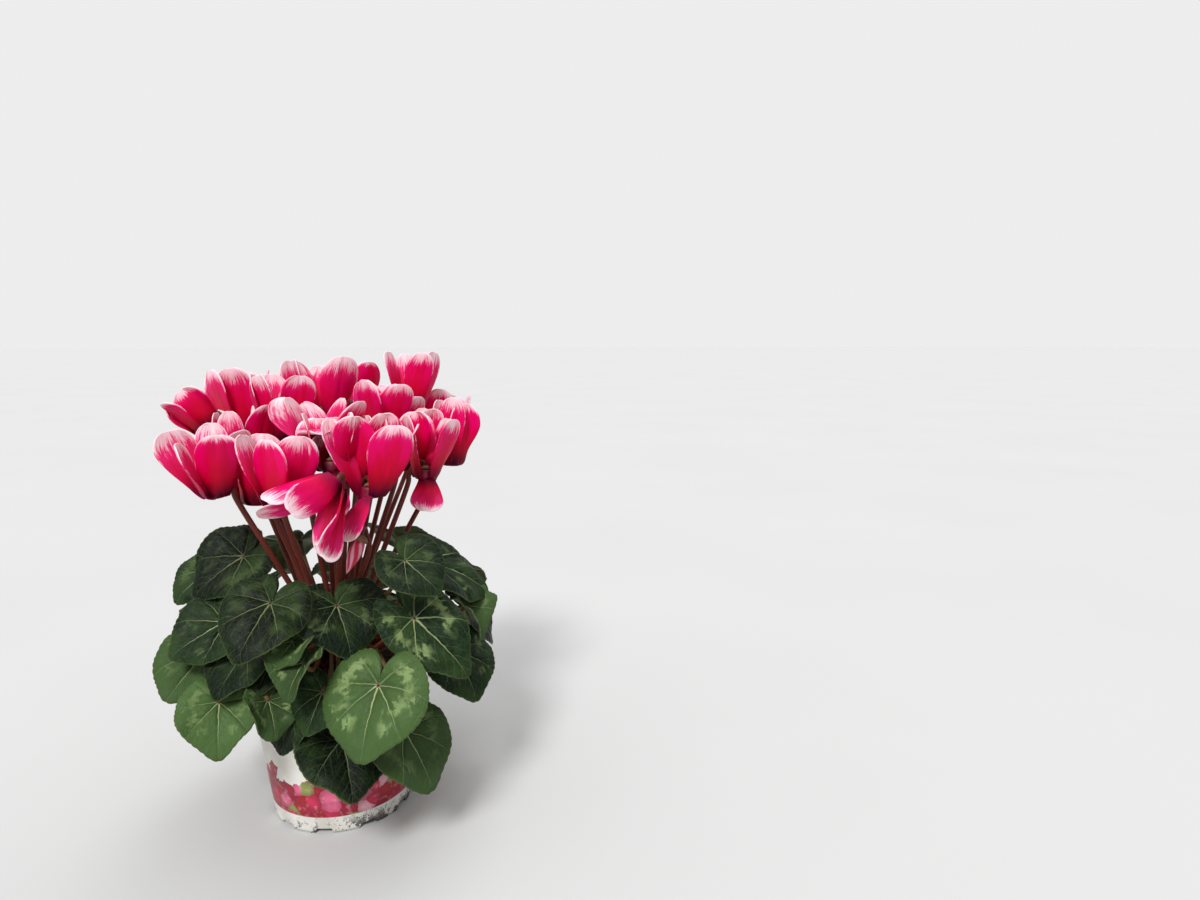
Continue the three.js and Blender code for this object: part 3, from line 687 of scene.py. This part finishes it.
UP = Vector((0, 0, 1))
MILLIMETRE = 0.001
# Points nearer than this, in mm, are joined where a surface closes on itself.
WELD = 1e-4


def smooth(value, low, high):
    """Runs smoothly from 0 to 1 as value goes from low to high."""
    share = min(max((value - low) / (high - low), 0), 1)
    return share * share * (3 - 2 * share)


def bell(value, width):
    """1 at 0, falling away smoothly on both sides."""
    return math.exp(-((value / width) ** 2))


def finish_piece(name, bm, materials, slot, *nodes):
    """Turns a bmesh in millimetres into a smooth piece of the plant, in metres."""
    bmesh.ops.transform(bm, matrix=Matrix.Scale(MILLIMETRE, 4), verts=bm.verts)
    mesh = bpy.data.meshes.new(name)
    bm.to_mesh(mesh)
    bm.free()
    for material in materials:
        mesh.materials.append(material)
    mesh.shade_smooth()
    piece = bpy.data.objects.new(name, mesh)
    bpy.context.scene.collection.objects.link(piece)
    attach(piece, "root")
    if nodes:
        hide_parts(*nodes)
    return piece


def add_thickness(piece, thickness, offset, under=0, edge=0):
    """Gives a sheet its thickness; under and edge are steps along its materials."""
    wall = piece.modifiers.new("thickness", "SOLIDIFY")
    wall.thickness = thickness * MILLIMETRE
    wall.offset = offset
    wall.material_offset = under
    wall.material_offset_rim = edge


def round_edges(bm, edges, width):
    settings = dict(segments=3, profile=0.5, affect="EDGES", material=-1, clamp_overlap=True)
    bmesh.ops.bevel(bm, geom=edges, offset=width, **settings)


def sharp_edges(bm, angle, above=-math.inf):
    """Edges that turn by more than an angle, in radians, and lie above a height."""
    return [e for e in bm.edges if e.calc_face_angle(0) > angle and min(v.co.z for v in e.verts) > above]


def cap_ends(bm, sides=0):
    bmesh.ops.holes_fill(bm, edges=[e for e in bm.edges if e.is_boundary], sides=sides)
    bmesh.ops.recalc_face_normals(bm, faces=bm.faces)


def map_layer(bm):
    """The mesh's UV map, which its materials read by the name UVMap."""
    return bm.loops.layers.uv.get("UVMap") or bm.loops.layers.uv.new("UVMap")


def mapped_grid(bm, columns, rows, place, marks=(), crowd=1.0):
    """A grid of faces moved so that its point u, v, each from 0 to 1, lies at place(u, v).
    Its UV map keeps u, v, marks are (layer, function of u, v) for vertex values, and a
    crowd above 1 packs the rows closer together towards v = 1."""
    uv_layer = map_layer(bm)
    made = bmesh.ops.create_grid(bm, x_segments=columns, y_segments=rows, size=0.5)["verts"]
    flat = {vert: (vert.co.x + 0.5, 1 - max(0.5 - vert.co.y, 0) ** crowd) for vert in made}
    for face in {face for vert in made for face in vert.link_faces}:
        for loop in face.loops:
            loop[uv_layer].uv = flat[loop.vert]
    for vert in made:
        u, v = flat[vert]
        for layer, value in marks:
            vert[layer] = value(u, v)
        vert.co = place(u, v)
    return made


def spun(bm, points, segments, closed=False):
    """Spins a profile of (radius, height) points round the Z axis."""
    verts = [bm.verts.new((radius, 0, height)) for radius, height in points]
    edges = [bm.edges.new(pair) for pair in zip(verts, verts[1:])]
    if closed:
        edges.append(bm.edges.new((verts[-1], verts[0])))
    round_z = dict(cent=(0, 0, 0), axis=(0, 0, 1), dvec=(0, 0, 0), angle=2 * math.pi)
    bmesh.ops.spin(bm, geom=[*verts, *edges], steps=segments, use_merge=True, **round_z)
    bmesh.ops.remove_doubles(bm, verts=bm.verts, dist=WELD)
    bmesh.ops.recalc_face_normals(bm, faces=bm.faces)


def ring_frames(path):
    """Frames that follow a path of points without twisting: (point, side, other side)."""
    frames = []
    side = None
    for i, point in enumerate(path):
        ahead = (path[min(i + 1, len(path) - 1)] - path[max(i - 1, 0)]).normalized()
        if side is None:
            side = ahead.orthogonal().normalized()
        side = (side - ahead * side.dot(ahead)).normalized()
        frames.append((point, side, ahead.cross(side)))
    return frames


def extrude_ring(bm, ring):
    """Grows a band of faces from a ring, and returns its new ring in the same order."""
    edges = {edge for vert in ring for edge in vert.link_edges}
    edges = [edge for edge in edges if all(vert in ring for vert in edge.verts)]
    grown = bmesh.ops.extrude_edge_only(bm, edges=edges)["geom"]

    def column(vert):
        return next(ring.index(v) for edge in vert.link_edges for v in edge.verts if v in ring)

    return sorted((item for item in grown if isinstance(item, bmesh.types.BMVert)), key=column)


def swept_tube(bm, path, radius, sides=12):
    """A round bar along a path, made by extruding a ring from point to point and capping
    both ends. radius(share) gives its radius at a share of its length."""
    uv_layer = map_layer(bm)
    spans = len(path) - 1
    flat = {}
    ring = bmesh.ops.create_circle(bm, cap_ends=False, segments=sides, radius=1)["verts"]
    for i, (centre, side, other) in enumerate(ring_frames(path)):
        if i > 0:
            ring = extrude_ring(bm, ring)
        thick = radius(i / spans)
        for k, vert in enumerate(ring):
            flat[vert] = (k, i / spans)
            turn = 2 * math.pi * k / sides
            vert.co = centre + side * (thick * math.cos(turn)) + other * (thick * math.sin(turn))
    for face in bm.faces:
        # The last column ends at the map's far side, not back at the first one.
        last = {flat[vert][0] for vert in face.verts} == {0, sides - 1}
        for loop in face.loops:
            column, along = flat[loop.vert]
            loop[uv_layer].uv = ((column or last * sides) / sides, along)
    cap_ends(bm, sides)


def smooth_path(points, steps):
    """A Catmull-Rom path through points, with this many steps between each two."""
    ends = [points[0] * 2 - points[1], *points, points[-1] * 2 - points[-2]]
    path = []
    for a, b, c, d in zip(ends, ends[1:], ends[2:], ends[3:]):
        path += interpolate_bezier(b, b + (c - a) / 6, c - (d - b) / 6, c, steps + 1)[:-1]
    return [*path, points[-1]]


def crown(x, y, gap=0.35):
    """The tuber's surface above x, y, a gap off it, and the way out there."""
    height = TUBER_HALF_HEIGHT * math.sqrt(1 - (x * x + y * y) / TUBER_RADIUS**2)
    out = Vector((x / TUBER_RADIUS**2, y / TUBER_RADIUS**2, height / TUBER_HALF_HEIGHT**2)).normalized()
    return Vector((x, y, TUBER_CENTRE + height)) + out * gap, out


def facing(degrees):
    """The level way that heads this many degrees anticlockwise from +X."""
    turn = math.radians(degrees)
    return Vector((math.cos(turn), math.sin(turn), 0))


# ------------------------------ leaves

LEAF_COLUMNS = 208
LEAF_ROWS = 20
TEETH = 23
# Shares of a midrib's length: how far the blade dips at the joint, the rim and the veins,
# how high its waves are, by how many there are round it, and how bumpy it is.
JOINT_DIP = 0.035
RIM_DIP = 0.05
VEIN_DIP = 0.03
WAVES = {3: 0.034, 5: 0.024, 9: 0.014}
BUMPS = 0.02

PETIOLE_POINTS = 25
# How far a petiole runs on from the tuber and up to the blade before it bends, as shares
# of the distance between them.
PETIOLE_LEAVE = 0.4
PETIOLE_ARRIVE = 0.36


def margin(angle):
    """How far the margin is from the joint, in midrib lengths, at an angle from the
    midrib: pointed at the tip, round at the sides, and cleft behind the joint."""
    round_part = 0.7 + 0.15 * math.cos(angle)
    behind = math.pi - abs(angle)
    cleft = 0.27 * bell(behind, 0.3) + 0.2 * bell(behind, 0.07)
    tooth = 0.016 * abs(math.sin(TEETH * abs(angle))) ** 0.7 * smooth(behind, 0.15, 0.5)
    return round_part + 0.14 * bell(angle, 0.27) - cleft + tooth


def vein_groove(angle, reach):
    """How deep the blade dips along its main veins, from 0 between them to 1 on one."""
    bent = abs(angle) + VEIN_BEND * reach * math.sin(abs(angle))
    off = (bent / VEIN_SPACING - round(bent / VEIN_SPACING)) * VEIN_SPACING
    return bell(reach * math.sin(off), 0.035)


def leaf_frame(leaf):
    """The joint, the midrib's length, and the ways along, across and up from the blade."""
    joint, tip = Vector(leaf.joint), Vector(leaf.tip)
    along = (tip - joint).normalized()
    face = (UP - along * along.z).normalized()
    face = Matrix.Rotation(math.radians(leaf.roll), 3, along) @ face
    return joint, (tip - joint).length, along, face.cross(along), face


def make_blade(name, leaf, *nodes):
    """A leaf's blade, with waves round its margin. In place(u, v), u goes round the joint
    from cleft to cleft and v goes out to the margin."""
    joint, length, along_way, across_way, face_way = leaf_frame(leaf)
    chance = random.Random(name)
    phases = {count: chance.uniform(0, 2 * math.pi) for count in WAVES}
    patch = Vector((chance.uniform(-50, 50), chance.uniform(-50, 50), 0))

    def given_or(value, low, high):
        drawn = chance.uniform(low, high)
        return drawn if value is None else value

    cup = given_or(leaf.cup, -0.04, 0.2)
    crumple = given_or(leaf.crumple, 0.8, 1.5)
    fold = given_or(leaf.fold, 0.04, 0.12)
    droop = chance.uniform(0.14, 0.24)
    lobes = chance.uniform(0.06, 0.16)

    def plane(u, v):
        angle = (2 * u - 1) * math.pi
        reach = v**0.9 * margin(angle)
        return angle, reach, reach * math.cos(angle), reach * math.sin(angle) * leaf.wide

    def place(u, v):
        angle, reach, along, across = plane(u, v)
        height = cup * across**2 + fold * math.sqrt(across**2 + 0.0009)
        height += lobes * max(-along, 0) - droop * max(along, 0) ** 2
        ruffle = sum(high * math.sin(count * angle + phases[count]) for count, high in WAVES.items())
        height += crumple * ruffle * v**3 * smooth(math.pi - abs(angle), 0.0, 0.6)
        height -= RIM_DIP * smooth(v, 0.72, 1.0) ** 2
        height -= VEIN_DIP * vein_groove(angle, reach) * smooth(v, 0.02, 0.2) * (1 - 0.6 * v)
        height -= JOINT_DIP * bell(reach, 0.12)
        height += BUMPS * noise.noise(Vector((along * 4, across * 4, 0)) + patch) * smooth(v, 0.1, 0.5)
        off = face_way * ((height + JOINT_DIP) * length + BLADE_THICKNESS)
        return joint + along_way * (along * length) + across_way * (across * length) + off

    bm = bmesh.new()
    values = {"share": lambda u, v: v, "tone": lambda u, v: leaf.tone, "silver": lambda u, v: leaf.silver}
    marks = [(bm.verts.layers.float.new(key), value) for key, value in values.items()]
    made = mapped_grid(bm, LEAF_COLUMNS, LEAF_ROWS, place, marks)
    uv_layer = map_layer(bm)
    for loop in (loop for face in bm.faces for loop in face.loops):
        _, _, along, across = plane(*loop[uv_layer].uv)
        loop[uv_layer].uv = (across / UV_SPAN + 0.5, (along + UV_BACK) / UV_SPAN)
    bmesh.ops.remove_doubles(bm, verts=made, dist=WELD)
    bm.normal_update()
    if sum(face.normal.dot(face_way) for face in bm.faces) < 0:
        bmesh.ops.reverse_faces(bm, faces=bm.faces)
    blade = finish_piece("blade_" + name, bm, LEAF_FINISHES, "leaf", *nodes)
    add_thickness(blade, BLADE_THICKNESS, -1, under=1, edge=2)


def make_petiole(name, leaf, *nodes):
    """The leaf's own stem: it rises from the tuber, clears the pot's rim and ends in the
    dip under the blade's joint."""
    joint, _, _, _, face_way = leaf_frame(leaf)
    heading = math.degrees(math.atan2(joint.y, joint.x)) + leaf.swing
    foot = facing(heading) * TIER_RADIUS[leaf.tier]
    start, out = crown(foot.x, foot.y)
    distance = (start - joint).length
    over_rim = POT_HEIGHT + RIM_CLEARANCE
    end = joint + face_way * 0.4
    leave = start + out * (PETIOLE_LEAVE * distance)
    arrive = end - face_way * (PETIOLE_ARRIVE * distance)
    # Both handles are high enough for the petiole to pass over the rim.
    leave.z = max(leave.z, over_rim + 4)
    arrive.z = max(arrive.z, over_rim + 0.7 * (over_rim - end.z))
    path = interpolate_bezier(start, leave, arrive, end, PETIOLE_POINTS)
    path[0] -= out * 0.8

    def radius(share):
        return PETIOLE_RADIUS * (1.15 - 0.25 * smooth(share, 0, 0.9) + 0.3 * smooth(share, 0.93, 1))

    bm = bmesh.new()
    swept_tube(bm, path, radius, 10)
    finish_piece("petiole_" + name, bm, [PETIOLE], "leaf", *nodes)


def make_leaf(name, leaf, *nodes):
    make_blade(name, leaf, *nodes)
    make_petiole(name, leaf, *nodes)


for leaf_name, leaf in LEAVES.items():
    make_leaf(leaf_name, leaf, "leaf_" + leaf_name)
for leaf_name, leaf in FILLER_LEAVES.items():
    make_leaf(leaf_name, leaf)

# ------------------------------ flowers

PETAL_COLUMNS = 18
PETAL_ROWS = 32
# Up to this share of its length a petal hugs the flower's axis as one round cup.
CLOSED_CUP = 0.22
# How far a petal's end folds over, outwards and down, as shares of the flower's height.
FLOP_OUT = 0.34
FLOP_DOWN = 0.42
# Points that the stalk's hook passes, in mm out from and above the flower's mouth.
HOOK = ((9.6, -7), (8.8, 0.5), (6.9, 6.4), (3.6, 9.4), (0.8, 8.6), (0, TUBE_HEIGHT + 0.4))
STALK_RISE = 14
CALYX_PROFILE = ((0, 2.2), (1.6, 1.9), (2.7, 1.0), (3.1, 0.1), (2.4, 0), (0, 0))


def flower_frame(flower):
    """The flower's height, and the matrix from its own frame: the mouth's centre at the
    origin, the petals up along Z, and the stalk coming in on the +X side."""
    mouth = Vector(flower.mouth)
    axis = Vector(flower.top) - mouth
    tall = axis.length
    axis.normalize()
    side = facing(flower.stalk_from)
    side = (side - axis * side.dot(axis)).normalized()
    to_world = Matrix((side, axis.cross(side), axis)).transposed().to_4x4()
    to_world.translation = mouth
    return tall, to_world


def petal_radius(spread, v):
    """How far a petal's middle is from the flower's axis, from its mouth to its tip."""
    shoulder = MOUTH_RADIUS + BELLY * math.sin(min(v / 0.25, 1) * math.pi / 2)
    opened = max(v - 0.15, 0) / 0.85
    return shoulder + (spread - MOUTH_RADIUS - BELLY) * (0.55 * opened + 0.45 * smooth(v, 0.15, 1))


def petal_height(tall, v):
    return tall * (1.25 * v - 0.25 + 0.25 * (1 - v) ** 5)


def petal_half_width(half, v):
    """Narrow at the claw, widening steadily to a broad, round end, like a spoon."""
    widened = CLAW + (half - CLAW) * smooth(v, 0.08, 0.8)
    rounding = max(v - ROUND_FROM, 0) / (1 - ROUND_FROM)
    return widened * (1 - (ROUND_TO * rounding) ** ROUND_POWER) ** ROUND_ROOT


def petal_shape(flower, to_world, tall, i, chance, pinwheel):
    """One petal's surface, as a function of its own u and v."""
    angle = PETAL_ANGLES[i] + chance.uniform(-7, 7)
    turned = pinwheel + chance.uniform(-7, 7)
    spread = flower.spread * chance.uniform(0.86, 1.16)
    length = tall * chance.uniform(0.9, 1.04)
    widest = flower.petal / 2 * chance.uniform(0.98, 1.14)
    cup = chance.uniform(0.04, 0.26)
    curl = chance.uniform(-1.2, 2.6)
    sway = chance.uniform(-2.5, 2.5)
    ruffle = chance.uniform(0.15, 0.6)
    phase = chance.uniform(0, 2 * math.pi)
    crease = chance.uniform(0.0, 0.5)
    rolled_side = chance.choice((-1, 1))
    rolled = chance.choice((0, 0, 0.35, 0.8))
    if rolled_side < 0:
        # This side lies beneath the next petal, so it rolls less.
        rolled *= 0.3
    outward, sideways = facing(angle), facing(angle + 90)

    def place(u, v):
        across = 2 * u - 1
        twist = math.radians(turned * (0.6 + 0.5 * v))
        over = sideways * math.cos(twist) + outward * math.sin(twist)
        off = outward * math.cos(twist) - sideways * math.sin(twist)
        half = petal_half_width(widest, v)
        radius = petal_radius(spread, v)
        opened = smooth(v, CLOSED_CUP, 0.6)
        bow = across**2 * ((1 - opened) * half**2 / (2 * radius) + opened * cup * half)
        wave = across**2 * math.sin(8 * v + phase + 1.3 * across)
        bow += flower.wavy * ruffle * wave * smooth(v, 0.3, 0.9)
        bow -= rolled * half * smooth(rolled_side * across, 0.25, 1.0) ** 2 * smooth(v, 0.35, 0.75)
        bow += crease * bell(across, 0.12) * smooth(v, 0.2, 0.7)
        point = outward * (radius + flower.wavy * curl * smooth(v, 0.65, 1.0) ** 2)
        point += over * (across * half + flower.wavy * sway * smooth(v, 0.2, 1.0) ** 2)
        point -= off * bow
        point.z = petal_height(length, v)
        if i in flower.hangs:
            point.z *= -flower.hang
        if i in flower.flops:
            over_end = tall * smooth(v, 0.6, 1.0)
            point += outward * (FLOP_OUT * over_end) - UP * (FLOP_DOWN * over_end)
        return to_world @ point

    return place


def make_petals(name, flower, *nodes):
    tall, to_world = flower_frame(flower)
    pinwheel = random.Random(name).uniform(12, 32)
    bm = bmesh.new()
    pale_layer = bm.verts.layers.float.new("pale")
    for i in range(len(PETAL_ANGLES)):
        chance = random.Random(f"{name} {i}")
        pale = max(chance.random(), i in flower.flops)
        shape = petal_shape(flower, to_world, tall, i, chance, pinwheel)
        marks = [(pale_layer, lambda u, v: pale)]
        mapped_grid(bm, PETAL_COLUMNS, PETAL_ROWS, shape, marks, crowd=1.4)
    petals = finish_piece("petals_" + name, bm, PETAL_FINISHES, "petal", *nodes)
    add_thickness(petals, PETAL_THICKNESS, 0, under=1)


def make_tube(name, flower, *nodes):
    """The short tube that joins the petals at the mouth."""
    _, to_world = flower_frame(flower)
    outer, inner = MOUTH_RADIUS + 0.4, MOUTH_RADIUS - TUBE_WALL
    points = [(inner, -0.5), (outer, -0.5), (MOUTH_RADIUS, TUBE_HEIGHT), (inner, TUBE_HEIGHT)]
    bm = bmesh.new()
    spun(bm, points, 32, closed=True)
    round_edges(bm, sharp_edges(bm, 0.8), 0.35)
    bmesh.ops.transform(bm, matrix=to_world, verts=bm.verts)
    finish_piece("tube_" + name, bm, [TUBE], "petal", *nodes)


def make_stalk(name, flower, *nodes):
    _, to_world = flower_frame(flower)
    start, out = crown(*flower.base)
    hook = [to_world @ Vector((aside, 0, height)) for aside, height in HOOK]
    rising = (start + out * STALK_RISE).lerp(hook[0], 0.1)
    path = smooth_path([start - out, rising, rising.lerp(hook[0], 0.5), *hook], 7)
    bm = bmesh.new()
    swept_tube(bm, path, lambda share: STALK_RADIUS * (1.12 - 0.2 * share))
    finish_piece("stem_" + name, bm, [STALK], "stalk", *nodes)

    bm = bmesh.new()
    calyx_cup(bm, HOOK[-1][1])
    bmesh.ops.transform(bm, matrix=to_world, verts=bm.verts)
    finish_piece("calyx_" + name, bm, [CALYX], "stalk", *nodes)


def calyx_cup(bm, height):
    """Five short sepals round the stalk's end, above the tube."""
    spun(bm, [(radius, height + above) for radius, above in CALYX_PROFILE], 40)
    for vert in bm.verts:
        turn = math.atan2(vert.co.y, vert.co.x)
        reach = math.hypot(vert.co.x, vert.co.y)
        lobe = 1 + 0.14 * math.cos(5 * turn) * smooth(reach, 1.0, 2.6)
        vert.co.x *= lobe
        vert.co.y *= lobe


for flower_name, flower in FLOWERS.items():
    make_petals(flower_name, flower, "flower_" + flower_name)
    make_tube(flower_name, flower, "flower_" + flower_name)
    make_stalk(flower_name, flower, "stalk_" + flower_name)
for flower_name, flower in FILLER_FLOWERS.items():
    make_petals(flower_name, flower)
    make_tube(flower_name, flower)
    make_stalk(flower_name, flower)

# ------------------------------ bud


def make_bud():
    """Furled petals that hang from a calyx on a hooked stalk of their own."""
    axis = BUD_TIP - BUD_TOP
    turned = UP.rotation_difference(axis.normalized()).to_matrix().to_4x4()
    turned.translation = BUD_TOP

    def place(u, v):
        turn = 2 * math.pi * u
        radius = BUD_RADIUS * math.sin(math.pi * min(v * 1.02 + 0.06, 1)) ** 0.8 * (1 - 0.35 * v)
        radius *= 1 + 0.1 * math.sin(5 * turn + 3.5 * v)
        height = v * (axis.length + 1.5) - 1
        return turned @ Vector((radius * math.cos(turn), radius * math.sin(turn), height))

    bm = bmesh.new()
    mapped_grid(bm, 40, 24, place)
    bmesh.ops.remove_doubles(bm, verts=bm.verts, dist=1e-3)
    cap_ends(bm)
    finish_piece("bud_petals", bm, [BUD_PETALS], "bud", "bud")

    bm = bmesh.new()
    calyx_cup(bm, -1.3)
    bmesh.ops.scale(bm, vec=(1.3, 1.3, 1.7), verts=bm.verts)
    bmesh.ops.transform(bm, matrix=turned @ Matrix.Rotation(math.pi, 4, "X"), verts=bm.verts)
    finish_piece("bud_calyx", bm, [CALYX], "bud", "bud")

    start, out = crown(*BUD_BASE)
    side = facing(BUD_STALK_FROM)
    hook = [BUD_TOP + side * aside + UP * above for aside, above in BUD_HOOK]
    path = smooth_path([start - out, start + out * STALK_RISE, *hook], 8)
    bm = bmesh.new()
    swept_tube(bm, path, lambda share: 0.85 * STALK_RADIUS)
    finish_piece("bud_stem", bm, [STALK], "bud", "bud")


make_bud()

# ------------------------------ pot, soil, tuber

POT_SEGMENTS = 240
SOIL_SEGMENTS = 160
SOIL_RINGS = 26
CLOD_HEIGHT = 0.9


def pot_radius(height):
    """The radius of the pot's outside, under its lip."""
    return FOOT_RADIUS + (RIM_RADIUS - LIP_DEPTH - FOOT_RADIUS) * height / POT_HEIGHT


def make_pot():
    lip_bottom = POT_HEIGHT - LIP_HEIGHT
    floor_top = FOOT_HEIGHT + POT_FLOOR
    notch_top = FOOT_HEIGHT - 0.5
    inner_foot = FOOT_RADIUS - FOOT_WIDTH
    points = [(0, FOOT_HEIGHT), (inner_foot, FOOT_HEIGHT), (inner_foot, 0), (FOOT_RADIUS, 0)]
    points += [(pot_radius(h), h) for h in (2, FOOT_HEIGHT, 20, 40, 60, lip_bottom)]
    points += [(RIM_RADIUS, lip_bottom), (RIM_RADIUS, POT_HEIGHT)]
    points += [(pot_radius(h) - POT_WALL, h) for h in (POT_HEIGHT, floor_top)]
    bm = bmesh.new()
    spun(bm, [*points, (0, floor_top)], POT_SEGMENTS)
    pitch = 2 * math.pi / NOTCHES
    for vert in bm.verts:
        turn = math.atan2(vert.co.y, vert.co.x) + math.pi / 2
        from_middle = abs((turn / pitch) % 1 - 0.5) * pitch * FOOT_RADIUS
        if vert.co.z < notch_top and from_middle < NOTCH_WIDTH / 2:
            vert.co.z = notch_top + 0.1 * vert.co.z
    round_edges(bm, sharp_edges(bm, 0.9, above=4), 0.5)
    finish_piece("grower_pot", bm, [POT_PLASTIC], "pot", "pot")


def make_soil():
    def outer(height):
        return pot_radius(height) - POT_WALL - SOIL_GAP

    bottom = FOOT_HEIGHT + POT_FLOOR + 0.4
    edge = outer(SOIL_EDGE)
    points = [(0, bottom), (outer(bottom), bottom), (edge, SOIL_EDGE)]
    for i in range(1, SOIL_RINGS + 1):
        share = i / SOIL_RINGS
        points.append((edge * (1 - share), SOIL_EDGE + (SOIL_CENTRE - SOIL_EDGE) * share))
    bm = bmesh.new()
    spun(bm, points, SOIL_SEGMENTS)
    for vert in bm.verts:
        if vert.co.z > SOIL_EDGE - 1:
            inside = smooth(edge - math.hypot(vert.co.x, vert.co.y), 0, 3)
            clods = noise.noise(vert.co * 0.35) + 0.6 * noise.noise(vert.co * 0.9)
            vert.co.z += CLOD_HEIGHT * clods * inside
    finish_piece("peat_soil", bm, [PEAT], "soil", "soil")


def make_tuber():
    bm = bmesh.new()
    bmesh.ops.create_uvsphere(bm, u_segments=64, v_segments=40, radius=1)
    for vert in bm.verts:
        vert.co *= 1 + 0.03 * noise.noise(vert.co * 2.2) + 0.012 * noise.noise(vert.co * 7)
    shape = Matrix.Diagonal((TUBER_RADIUS, TUBER_RADIUS, TUBER_HALF_HEIGHT, 1))
    bmesh.ops.transform(bm, matrix=Matrix.Translation(UP * TUBER_CENTRE) @ shape, verts=bm.verts)
    finish_piece("corky_tuber", bm, [CORK], "tuber", "tuber")


make_pot()
make_soil()
make_tuber()

# ------------------------------ floor and light

# The floor's width is in metres. The others are linear greys and strengths of light.
FLOOR_SIZE = 60
FLOOR_GREY = 0.55
FLOOR_MOTTLE = 0.005
BACKDROP_LIGHT = 0.85
HORIZON_LIGHT = 0.14
ZENITH_LIGHT = 1.0


def grey(value):
    return (value, value, value, 1)


def make_floor():
    bm = bmesh.new()
    bmesh.ops.create_grid(bm, x_segments=2, y_segments=2, size=FLOOR_SIZE / 2)
    mesh = bpy.data.meshes.new("floor")
    bm.to_mesh(mesh)
    bm.free()
    floor = bpy.data.objects.new("floor", mesh)
    bpy.context.scene.collection.objects.link(floor)
    nodes = Finish("floor", Roughness=0.9, Specular_IOR_Level=0.0)
    grain = nodes.group(GRAIN, Place=nodes.place(), Scale=3.0)
    darker, lighter = grey(FLOOR_GREY - FLOOR_MOTTLE), grey(FLOOR_GREY + FLOOR_MOTTLE)
    mesh.materials.append(nodes.finish(Base_Color=nodes.mix(grain["Share"], darker, lighter)))


def add_sun(name, heading, height, strength, softness):
    """A soft light from far away: heading is anticlockwise from +X and height is its
    angle above the floor, both in degrees, and softness is how wide it looks."""
    data = bpy.data.lights.new(name, "SUN")
    data.energy = strength
    data.angle = math.radians(softness)
    light = bpy.data.objects.new(name, data)
    rise = math.radians(height)
    way = facing(heading) * math.cos(rise) + UP * math.sin(rise)
    light.location = way * 2
    light.rotation_euler = way.to_track_quat("Z", "Y").to_euler()
    bpy.context.scene.collection.objects.link(light)


def make_world():
    """Even light from all round, brighter overhead, as under a large softbox."""
    world = bpy.data.worlds.new("studio")
    bpy.context.scene.world = world
    world.use_nodes = True
    nodes = Nodes(world.node_tree)
    _, _, height = nodes.split(nodes.add("TexCoord", {})["Generated"])
    light = nodes.mix(nodes.step(height, 0.0, 0.9), grey(HORIZON_LIGHT), grey(ZENITH_LIGHT))
    seen = nodes.add("LightPath", {})["Is Camera Ray"]
    light = nodes.mix(seen, light, grey(BACKDROP_LIGHT))
    nodes.put(world.node_tree.nodes["Background"], dict(Color=light))


make_floor()
make_world()
add_sun("key light", heading=-122, height=45, strength=2.5, softness=14)
add_sun("back light", heading=60, height=60, strength=0.6, softness=30)
bpy.context.scene.view_settings.view_transform = "Standard"
